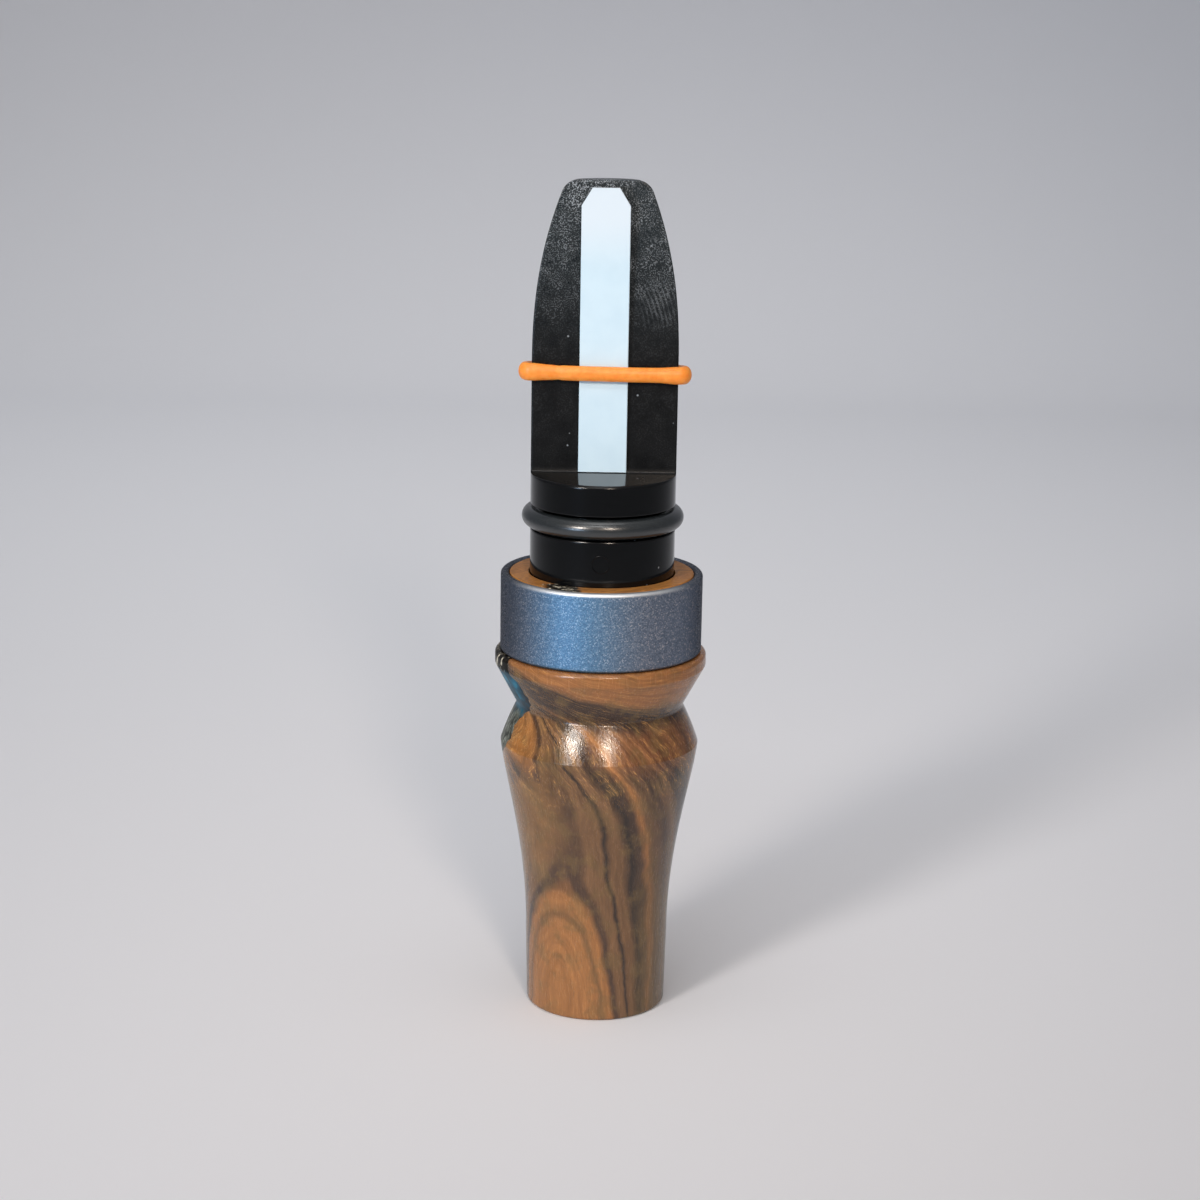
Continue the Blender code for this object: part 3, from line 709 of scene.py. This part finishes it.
def node_tree(name, inputs):
    """A Geometry Nodes tree with a Curve input, the named inputs, a Finish input and one output."""
    tree = bpy.data.node_groups.new(name, "GeometryNodeTree")
    sockets = {"Curve": "NodeSocketGeometry", **inputs, "Finish": "NodeSocketMaterial"}
    for label, kind in sockets.items():
        tree.interface.new_socket(label, in_out="INPUT", socket_type=kind)
    tree.interface.new_socket("Piece", in_out="OUTPUT", socket_type="NodeSocketGeometry")
    return tree, tree.nodes.new("NodeGroupInput").outputs


def end_tree(tree, sources, geometry):
    """Realises and finishes what the tree made, and hands it out."""
    real = add(tree, "GeometryNodeRealizeInstances", {"Geometry": geometry})
    finished = add(tree, "GeometryNodeSetMaterial", {"Geometry": real, "Material": sources["Finish"]})
    add(tree, "NodeGroupOutput", {0: finished})
    return tree


def run_tree(obj, tree, values):
    """Gives an object a tree with its inputs set, and returns the plain mesh that it makes."""
    modifier = obj.modifiers.new(tree.name, "NODES")
    modifier.node_group = tree
    for item in tree.interface.items_tree:
        if item.in_out == "INPUT" and item.name in values:
            modifier[item.identifier] = values[item.name]
    return baked(obj)


def turning_tree():
    """Spins a closed outline about Z.

    The outline's X is the radius beyond the core, and its -Y is the height.
    """
    tree, sources = node_tree("turning", {"Segments": "NodeSocketInt", "Core": "NodeSocketFloat"})
    circle = {"Resolution": sources["Segments"], "Radius": sources["Core"]}
    path = add(tree, "GeometryNodeCurvePrimitiveCircle", circle)
    spun = add(tree, "GeometryNodeCurveToMesh", {"Curve": path, "Profile Curve": sources["Curve"]})
    return end_tree(tree, sources, spun)


def sweep_tree():
    """Draws an oval section along a closed path, as thick as the path's own radius says."""
    sizes = {"Thickness": "NodeSocketFloat", "Width": "NodeSocketFloat", "Sides": "NodeSocketInt"}
    tree, sources = node_tree("sweep", sizes)
    circle = add(tree, "GeometryNodeCurvePrimitiveCircle", {"Resolution": sources["Sides"], "Radius": 0.5})
    scale = add(tree, "ShaderNodeCombineXYZ", {"X": sources["Thickness"], "Y": sources["Width"], "Z": 1.0})
    section = add(tree, "GeometryNodeTransform", {"Geometry": circle, "Scale": scale})
    thick = add(tree, "GeometryNodeInputRadius")
    links = {"Curve": sources["Curve"], "Profile Curve": section, "Scale": thick}
    swept = add(tree, "GeometryNodeCurveToMesh", links)
    return end_tree(tree, sources, swept)


TURNING = turning_tree()
SWEEP = sweep_tree()


def turned(name, outline, finish):
    """A piece spun from a closed outline of (radius, height) points."""
    curve = closed_curve(name, [(radius - TURNING_CORE, -height, 0) for radius, height in outline])
    return run_tree(curve, TURNING, {"Segments": SEGMENTS, "Core": TURNING_CORE, "Finish": finish})


def skin(name, loops):
    """A closed piece drawn over loops of points, with a cap at each end."""
    mesh = bpy.data.meshes.new(name)
    count = len(loops[0])
    points = [point for loop in loops for point in loop]
    faces = [list(range(count)), list(range(len(points) - count, len(points)))]
    for row in range(len(loops) - 1):
        low = row * count
        high = low + count
        for i in range(count):
            after = (i + 1) % count
            faces.append([low + i, low + after, high + after, high + i])
    mesh.from_pydata(points, [], faces)
    face_out(mesh)
    return show(bpy.data.objects.new(name, mesh))


def combined(target, tool, operation):
    """The target with a Boolean done, and the tool gone."""
    modifier = target.modifiers.new(operation, "BOOLEAN")
    modifier.operation = operation
    modifier.solver = "MANIFOLD"
    modifier.object = tool
    piece = baked(target)
    bpy.data.objects.remove(tool)
    return piece


def barrel_outline():
    """The barrel's outline: up its side from the base, over the tenon, and down the socket and the bore."""
    flare = bezier(WAIST, WAIST + WAIST_HANDLE, RIDGE - RIDGE_HANDLE, RIDGE, FLARE_STEPS)
    proud = Vector((NECK.y - RIDGE.y, RIDGE.x - NECK.x)).normalized() * SHOULDER_BULGE
    shoulder = [RIDGE.lerp(NECK, t) + proud * 4 * t * (1 - t) for t in SHOULDER_SHARES]
    return rounded(
        [
            (BASE_RADIUS, 0, BASE_ROUND),
            (*WAIST, 0),
            *((x, z, 0) for x, z in flare),
            (*RIDGE, RIDGE_ROUND),
            *((x, z, 0) for x, z in shoulder),
            (*NECK, NECK_ROUND),
            (LIP_RADIUS, LIP_HEIGHT, LIP_ROUND),
            (LIP_RADIUS, LIP_TOP, LIP_ROUND),
            (TENON_RADIUS, LIP_TOP, 0),
            (TENON_RADIUS, BARREL_TOP, TENON_ROUND),
            (MOUTH_RADIUS, BARREL_TOP, MOUTH_ROUND),
            (MOUTH_RADIUS, BARREL_TOP - MOUTH_DEPTH, 0),
            (SOCKET_RADIUS, BARREL_TOP - MOUTH_DEPTH - MOUTH_TAPER, 0),
            (SOCKET_RADIUS, SOCKET_FLOOR, 0),
            (AIR_BORE_RADIUS, SOCKET_FLOOR, AIR_BORE_ROUND),
            (AIR_BORE_RADIUS, EXIT_DEPTH, EXIT_BEND),
            (EXIT_RADIUS, 0, EXIT_ROUND),
        ]
    )


def between_rows(rows, height):
    """The values of a table at a height, worked out between its rows."""
    for low, high in zip(rows, rows[1:]):
        if height <= high[0]:
            share = (height - low[0]) / (high[0] - low[0])
            return [a + (b - a) * share for a, b in zip(low[1:], high[1:])]
    return rows[-1][1:]


def split_wave(height):
    """How far the edges of a natural split waver at a height in millimetres."""
    return math.sin(2.1 * height) * math.sin(0.9 * height + 1) + 0.4 * math.sin(7 * height)


def resin_cutter():
    """The split in the blank that the resin fills: a wavy lens that runs down the left side from the lip."""
    surface = sorted((z, r) for r, z in barrel_outline() if r > OUTER_SIDE and z <= LIP_TOP)
    levels = []
    first = RESIN_STREAK[0][0]
    last = RESIN_STREAK[-1][0]
    for i in range(RESIN_LEVELS + 1):
        height = first + (last - first) * i / RESIN_LEVELS
        left, right, depth = between_rows(RESIN_STREAK, height)
        radius = between_rows(surface, height * MM)[0]
        wave = RESIN_WAVE / radius * split_wave(height)
        loop = []
        for side, reach in ((1, RESIN_PROUD), (-1, -depth * MM)):
            for j in range(RESIN_POINTS + 1):
                across = side * (2 * j / RESIN_POINTS - 1)
                bulge = reach * (1 - across**4) + RESIN_EDGE if side < 0 else reach
                turn = math.radians((left + right) / 2 + across * (right - left) / 2) + wave
                out = radius + bulge
                loop.append((out * math.sin(turn), -out * math.cos(turn), height * MM))
        levels.append(loop)
    return skin("resin_cutter", levels)


def make_barrel(wood, resin):
    """The turned barrel, and the resin that fills the split in it."""
    barrel = turned("wood_barrel", barrel_outline(), wood)
    streak = turned("resin_streak", barrel_outline(), resin)
    streak = combined(streak, resin_cutter(), "INTERSECT")
    barrel = combined(barrel, resin_cutter(), "DIFFERENCE")
    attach(dress(barrel, wood, "barrel"), "barrel")
    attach(dress(streak, resin, "resin_fill"), "barrel")


def make_metal_band(finish):
    """The band on the tenon, its four edges rounded alike."""
    outline = rounded(
        [
            (BAND_INNER_RADIUS, BAND_LOW.z, BAND_EDGE),
            (BAND_RADIUS, BAND_LOW.z, BAND_EDGE),
            (BAND_RADIUS, BAND_HIGH.z, BAND_EDGE),
            (BAND_INNER_RADIUS, BAND_HIGH.z, BAND_EDGE),
        ]
    )
    band = turned("blue_band", outline, finish)
    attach(dress(band, finish, "metal_band"), "barrel")


def ring_outline(low, high, squareness):
    """Section of a rubber ring that fills a box. Squareness 2 is an ellipse, and more is squeezed flat."""
    inner = GROOVE_RADIUS + RING_GAP
    half_radial = (high.x - inner) / 2
    half_axial = (high.z - low.z) / 2
    points = []
    for i in range(RING_SIDES):
        turn = math.tau * i / RING_SIDES
        x = math.copysign(abs(math.cos(turn)) ** (2 / squareness), math.cos(turn))
        z = math.copysign(abs(math.sin(turn)) ** (2 / squareness), math.sin(turn))
        points.append((inner + half_radial * (1 + x), low.z + half_axial * (1 + z)))
    return points


def make_o_rings(finish):
    """The round ring that shows above the band, and the squeezed one that holds the insert in the socket."""
    upper = turned("round_ring", ring_outline(UPPER_RING_LOW, UPPER_RING_HIGH, squareness=2), finish)
    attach(dress(upper, finish, "upper_o_ring", sharp_angle=80), "insert")
    lower = turned("squeezed_ring", ring_outline(LOWER_RING_LOW, LOWER_RING_HIGH, squareness=3.5), finish)
    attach(dress(lower, finish, "lower_o_ring", sharp_angle=80), "seal")


def table(height):
    """How far the table under the reed has curved back at a height."""
    return TABLE_DROP * ((height - SHELF) / (TIP - SHELF)) ** 2


def tongue_half_width(height):
    """Half the tongue's width: straight, then drawn in faster and faster to the tip's round corners."""
    along = max(0, (height - TAPER_START) / (TIP - TAPER_START))
    half_width = SHANK_RADIUS - (SHANK_RADIUS - TIP_HALF_WIDTH) * along**TAPER_FULLNESS
    into_corner = height - (TIP - TIP_CORNER)
    if into_corner > 0:
        half_width -= TIP_CORNER - math.sqrt(max(0, TIP_CORNER**2 - into_corner**2))
    return half_width


def tongue_back(height):
    """Depth of the tongue's back, which falls away to the tip."""
    along = max(0, (height - TAPER_START) / (TIP - TAPER_START))
    return SHANK_RADIUS - (SHANK_RADIUS - TABLE_DROP - TIP_THICKNESS) * along**BACK_FULLNESS


def round_level(height, radius, front=None):
    """One round level of the insert, its front half drawn in to a smaller depth if asked."""
    front_points = TABLE_POINTS - 1 + 2 * EDGE_POINTS
    turns = [math.pi * i / BACK_POINTS for i in range(BACK_POINTS + 1)]
    turns += [math.pi + math.pi * i / (front_points + 1) for i in range(1, front_points + 1)]
    depth = front or radius
    return [(radius * math.cos(t), (radius if t <= math.pi else depth) * math.sin(t), height) for t in turns]


def flat_level(height, half_width, front, back, edge):
    """One D-shaped level of the tongue: a round back, and a flat front with rounded edges."""
    middle = table(height)
    start = math.asin((front + edge - middle) / (back - middle))
    points = []
    for i in range(BACK_POINTS + 1):
        turn = start + (math.pi - 2 * start) * i / BACK_POINTS
        points.append((half_width * math.cos(turn), middle + (back - middle) * math.sin(turn), height))
    flat = half_width * math.cos(start) - edge
    rim = []
    for i in range(1, EDGE_POINTS + 1):
        turn = math.pi / 2 * i / EDGE_POINTS
        rim.append((flat + edge * math.cos(turn), front + edge - edge * math.sin(turn), height))
    points += [(-x, y, z) for x, y, z in rim]
    points += [(flat * (2 * i / TABLE_POINTS - 1), front, height) for i in range(1, TABLE_POINTS)]
    return points + rim[::-1]


def groove_levels(middle):
    """An O-ring groove, its edges softened."""
    levels = []
    for side in (-1, 1):
        edge = middle + side * GROOVE_WIDTH / 2
        steps = [
            round_level(edge + side * (GROOVE_EDGE + EDGE_HOLD), SHANK_RADIUS),
            round_level(edge + side * GROOVE_EDGE, SHANK_RADIUS),
            round_level(edge + side * GROOVE_EASE, SHANK_RADIUS - GROOVE_EASE),
            round_level(edge, SHANK_RADIUS - GROOVE_EDGE),
            round_level(edge, GROOVE_RADIUS),
        ]
        levels += steps if side < 0 else reversed(steps)
    return levels


def shelf_levels():
    """The shelf: a rounded front edge, the flat, and a small fillet up to the table."""
    levels = [round_level(SHELF - SHELF_EDGE - EDGE_HOLD, SHANK_RADIUS)]
    for i in range(EDGE_POINTS + 1):
        turn = math.pi / 2 * i / EDGE_POINTS
        height = SHELF - SHELF_EDGE * (1 - math.sin(turn))
        levels.append(round_level(height, SHANK_RADIUS, SHANK_RADIUS - SHELF_EDGE * (1 - math.cos(turn))))
    for i in range(EDGE_POINTS):
        turn = math.pi / 2 * i / EDGE_POINTS
        height = SHELF + SHELF_FILLET * (1 - math.cos(turn))
        front = -SHELF_FILLET * (1 - math.sin(turn))
        levels.append(flat_level(height, SHANK_RADIUS, front, SHANK_RADIUS, TABLE_EDGE))
    return levels


def tongue_levels():
    """The tongue, from just over the shelf to the tip."""
    corner = TIP - TIP_CORNER
    straight = TAPER_START - SHELF
    rise = TIP_CORNER - TABLE_EDGE
    shares = [FIRST_LEVEL + (1 - FIRST_LEVEL) * i / STRAIGHT_LEVELS for i in range(STRAIGHT_LEVELS)]
    heights = [SHELF + straight * share for share in shares]
    heights += [TAPER_START + (corner - TAPER_START) * i / TAPER_LEVELS for i in range(TAPER_LEVELS)]
    heights += [corner + rise * math.sin(math.pi / 2 * i / CORNER_LEVELS) for i in range(CORNER_LEVELS + 1)]
    levels = []
    for z in heights:
        levels.append(flat_level(z, tongue_half_width(z), table(z), tongue_back(z), TABLE_EDGE))
    last = heights[-1]
    for i in range(1, TIP_LEVELS + 1):
        turn = math.pi / 2 * i / TIP_LEVELS
        inset = TABLE_EDGE * (1 - math.cos(turn))
        height = last + (TIP - last) * math.sin(turn)
        half_width = tongue_half_width(min(height, TIP - TIP_MARGIN))
        front = table(height) + inset
        back = tongue_back(height) - inset
        levels.append(flat_level(height, half_width, front, back, TABLE_EDGE))
    return levels


def channel_cutter():
    """The tone channel: open along the table, round at its end, and joined to the bore behind the shelf."""
    sill = SHELF + CHANNEL_SILL
    bend = CHANNEL_END - CHANNEL_HALF_WIDTH
    proud = REED_LOW.y * 2

    def level(height, half_width, front, back):
        """One level of the channel, with a point on each side at the depth of the sill."""
        right = [(half_width, front, height), (half_width, CHANNEL_SILL, height), (half_width, back, height)]
        return right + [(-x, y, z) for x, y, z in reversed(right)]

    def floor(height):
        """Depth of the channel's floor, which rises to its end."""
        along = (height - sill) / (CHANNEL_END - sill)
        return table(height) + CHANNEL_DEPTH + (CHANNEL_END_DEPTH - CHANNEL_DEPTH) * along

    levels = [
        level(BORE_TOP - CHANNEL_DEPTH, CHANNEL_HALF_WIDTH, CHANNEL_SILL, CHANNEL_DEPTH),
        level(sill, CHANNEL_HALF_WIDTH, CHANNEL_SILL, CHANNEL_DEPTH),
        level(sill, CHANNEL_HALF_WIDTH, proud, CHANNEL_DEPTH),
    ]
    for i in range(CHANNEL_LEVELS):
        turn = math.pi / 2 * i / CHANNEL_LEVELS
        height = bend + CHANNEL_HALF_WIDTH * math.sin(turn)
        levels.append(level(height, CHANNEL_HALF_WIDTH * math.cos(turn), proud, floor(height)))
    return skin("channel_cutter", levels)


def mould_mark(finish):
    """The fine ring that the mould's ejector pin leaves on the front of the shank."""
    path = []
    for i in range(MOULD_MARK_STEPS):
        turn = math.tau * i / MOULD_MARK_STEPS
        x = MOULD_MARK.x + MOULD_MARK_RADIUS * math.cos(turn)
        z = MOULD_MARK.y + MOULD_MARK_RADIUS * math.sin(turn)
        path.append((x, -math.sqrt(SHANK_RADIUS**2 - x**2) - MOULD_MARK_RISE, z))
    width = MOULD_MARK_WIDTH
    values = {"Thickness": width, "Width": width, "Sides": MOULD_MARK_SIDES, "Finish": finish}
    return run_tree(closed_curve("mould_mark", path), SWEEP, values)


def make_toneboard(finish):
    """The insert: levels up its bore wall and its outside, then the tone channel and the mould's mark."""
    lower_middle = (LOWER_RING_LOW.z + LOWER_RING_HIGH.z) / 2
    upper_middle = (UPPER_RING_LOW.z + UPPER_RING_HIGH.z) / 2
    levels = [
        round_level(BORE_TOP, BORE_RADIUS),
        round_level(SHANK_BOTTOM, BORE_RADIUS),
        round_level(SHANK_BOTTOM, SHANK_RADIUS - SHANK_CHAMFER),
        round_level(SHANK_BOTTOM + SHANK_CHAMFER, SHANK_RADIUS),
        round_level(SHANK_BOTTOM + SHANK_CHAMFER + EDGE_HOLD, SHANK_RADIUS),
        *groove_levels(lower_middle),
        *groove_levels(upper_middle),
        *shelf_levels(),
        *tongue_levels(),
    ]
    insert = combined(skin("black_insert", levels), channel_cutter(), "DIFFERENCE")
    insert = combined(insert, mould_mark(finish), "UNION")
    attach(dress(insert, finish, "toneboard", sharp_angle=30), "insert")


def make_reed(finish):
    """The film strip, drawn over many levels from its heel to its tip."""
    cut = REED_HIGH.z - REED_TIP_CUT
    near = REED_LOW.y
    far = REED_HIGH.y
    heights = [REED_LOW.z + (cut - REED_LOW.z) * i / REED_LEVELS for i in range(REED_LEVELS + 1)]
    heights += [cut + REED_TIP_CUT * i / REED_CUT_LEVELS for i in range(1, REED_CUT_LEVELS + 1)]
    levels = []
    for z in heights:
        narrowing = max(0, z - cut) / REED_TIP_CUT
        half_width = REED_HIGH.x + (REED_TIP_HALF_WIDTH - REED_HIGH.x) * narrowing
        inside = half_width - REED_EDGE
        side = [(half_width, near + REED_EDGE), (half_width, far - REED_EDGE)]
        right = [(inside, near), *side, (inside, far)]
        left = [(-x, y) for x, y in reversed(right)]
        levels.append([(x + REED_OFF_CENTRE, y, z) for x, y in right + left])
    reed = dress(skin("film_reed", levels), finish, "reed", sharp_angle=40)
    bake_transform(reed)


def reed_band_size(place):
    """How thick the band is at a place, as a share of its own thickness.

    It is stretched thin, fuller round the edges of the tongue, with a nip where it was joined.
    """
    from_edge = (abs(place.x) - SHANK_RADIUS) / REED_BAND_FULLER_REACH
    from_nip = (place.x - REED_BAND_NIP) / REED_BAND_NIP_REACH
    fuller = REED_BAND_FULLER * math.exp(-(from_edge**2))
    nip = REED_BAND_NIP_DEPTH * math.exp(-(from_nip**2)) if place.y < 0 else 0
    return REED_BAND_STRETCH + fuller - nip


def reed_band_route():
    """Places that the stretched band lies on, each with the way that faces out there.

    From the middle of the reed it runs to the reed's edge, straight on to the tongue's edge, and round the
    tongue's back.
    """
    lift = -REED_LOW.y
    corner = Vector((SHANK_RADIUS, 0, 0))
    reed_edge = Vector((REED_HIGH.x, -lift, 0))
    slope = math.atan2(lift, SHANK_RADIUS - REED_HIGH.x)
    shares = [i / REED_BAND_ON_REED for i in range(REED_BAND_ON_REED + 1)]
    half = [(Vector((REED_HIGH.x * share, -lift, 0)), 0) for share in shares]
    shares = [i / REED_BAND_TO_EDGE for i in range(REED_BAND_TO_EDGE + 1)]
    half += [(reed_edge.lerp(corner, share), slope) for share in shares]
    shares = [i / REED_BAND_ROUND_EDGE for i in range(1, REED_BAND_ROUND_EDGE + 1)]
    half += [(corner, slope + (math.pi / 2 - slope) * share) for share in shares]
    turns = [math.pi / 2 * i / REED_BAND_ROUND_BACK for i in range(1, REED_BAND_ROUND_BACK + 1)]
    half += [(Vector((math.cos(t), math.sin(t), 0)) * SHANK_RADIUS, math.pi / 2 + t) for t in turns]
    right = [(place, Vector((math.sin(turn), -math.cos(turn), 0))) for place, turn in half]
    left = [(Vector((-place.x, place.y, 0)), Vector((-way.x, way.y, 0))) for place, way in right[-2:0:-1]]
    return right + left


def make_reed_band(finish):
    """The elastic band round the tongue and the reed, a little tilted, with its back hanging lower."""
    height = (REED_BAND_LOW.z + REED_BAND_HIGH.z) / 2
    path = []
    sizes = []
    for place, way in reed_band_route():
        size = reed_band_size(place)
        point = place + way * (REED_BAND_GAP + REED_BAND_THICKNESS * size / 2)
        point.z = height - REED_BAND_TILT * point.x - REED_BAND_SAG * max(0, point.y)
        path.append(point)
        sizes.append(size)
    width = REED_BAND_HIGH.z - REED_BAND_LOW.z
    values = {"Thickness": REED_BAND_THICKNESS, "Width": width, "Sides": REED_BAND_SIDES, "Finish": finish}
    band = run_tree(closed_curve("elastic_band", path, sizes), SWEEP, values)
    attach(dress(band, finish, "reed_band", sharp_angle=80), "reed_band")


def make_camera():
    """The camera of the photograph."""
    camera = show(bpy.data.objects.new("camera", bpy.data.cameras.new("camera")))
    camera.data.lens = LENS
    camera.data.sensor_width = SENSOR_WIDTH
    camera.data.clip_start = CLIP_START
    turn = Matrix.Rotation(math.pi / 2 - CAMERA_PITCH, 4, "X") @ Matrix.Rotation(CAMERA_ROLL, 4, "Z")
    camera.matrix_world = Matrix.Translation(CAMERA_PLACE) @ turn
    bpy.context.scene.camera = camera


def make_floor():
    """A pale floor that curves up into a backdrop well behind the call."""
    line = [(-FLOOR_REACH, 0)]
    for i in range(FLOOR_BEND_STEPS + 1):
        turn = math.pi / 2 * i / FLOOR_BEND_STEPS
        back = FLOOR_BEND_START + FLOOR_BEND_RADIUS * math.sin(turn)
        line.append((back, FLOOR_BEND_RADIUS * (1 - math.cos(turn))))
    line.append((FLOOR_BEND_START + FLOOR_BEND_RADIUS, BACKDROP_HEIGHT))
    mesh = bpy.data.meshes.new("floor")
    points = [(x, y, z) for y, z in line for x in (-FLOOR_REACH, FLOOR_REACH)]
    faces = [(2 * i, 2 * i + 1, 2 * i + 3, 2 * i + 2) for i in range(len(line) - 1)]
    mesh.from_pydata(points, [], faces)
    mesh.shade_smooth()
    mesh.materials.append(plain_surface("pale_grey_floor", FLOOR_COLOUR, FLOOR_ROUGHNESS))
    show(bpy.data.objects.new("floor", mesh))


def make_lamp(name, place, target, width, height, spread, power, code):
    """A soft oval lamp behind a grid, facing a point."""
    data = bpy.data.lights.new(name, "AREA")
    data.shape = "ELLIPSE"
    data.size = width
    data.size_y = height
    data.spread = math.radians(spread)
    data.energy = power
    data.color = linear(code)[:3]
    lamp = show(bpy.data.objects.new(name, data))
    aim = (target - place).to_track_quat("-Z", "Y").to_matrix().to_4x4()
    lamp.matrix_world = Matrix.Translation(place) @ aim


def make_lights():
    """Two soft lamps in front, a low one on the left, a strip above, one on the backdrop, and the room."""
    scene = bpy.context.scene
    scene.world = bpy.data.worlds.new("studio")
    scene.world.use_nodes = True
    tree = scene.world.node_tree
    up = add(tree, "ShaderNodeSeparateXYZ", {0: add(tree, "ShaderNodeTexCoord", out="Generated")}, out=2)
    level = add(tree, "ShaderNodeMapRange", {"Value": up, "From Min": -1.0, "From Max": 1.0})
    walls = add(tree, "ShaderNodeValToRGB", {0: level}, stops=ROOM_COLOURS)
    feed(tree, tree.nodes["Background"], {"Color": walls, "Strength": ROOM_STRENGTH})
    for name, azimuth, elevation, distance, width, height, spread, power, code in LAMPS:
        turn = math.radians(azimuth)
        rise = math.radians(elevation)
        away = Vector((math.sin(turn) * math.cos(rise), -math.cos(turn) * math.cos(rise), math.sin(rise)))
        make_lamp(name, LAMP_TARGET + away * distance, LAMP_TARGET, width, height, spread, power, code)
    make_lamp("backdrop", BACKDROP_LAMP_PLACE, BACKDROP_LAMP_TARGET, *BACKDROP_LAMP)


def main():
    """Makes the stage and the eight pieces."""
    bpy.context.scene.view_settings.view_transform = "Standard"
    make_camera()
    make_floor()
    make_lights()
    make_barrel(figured_hardwood(), cast_resin())
    make_metal_band(anodised_aluminium())
    make_toneboard(moulded_plastic())
    make_o_rings(nitrile_rubber())
    make_reed(polyester_film())
    make_reed_band(orange_silicone())


main()
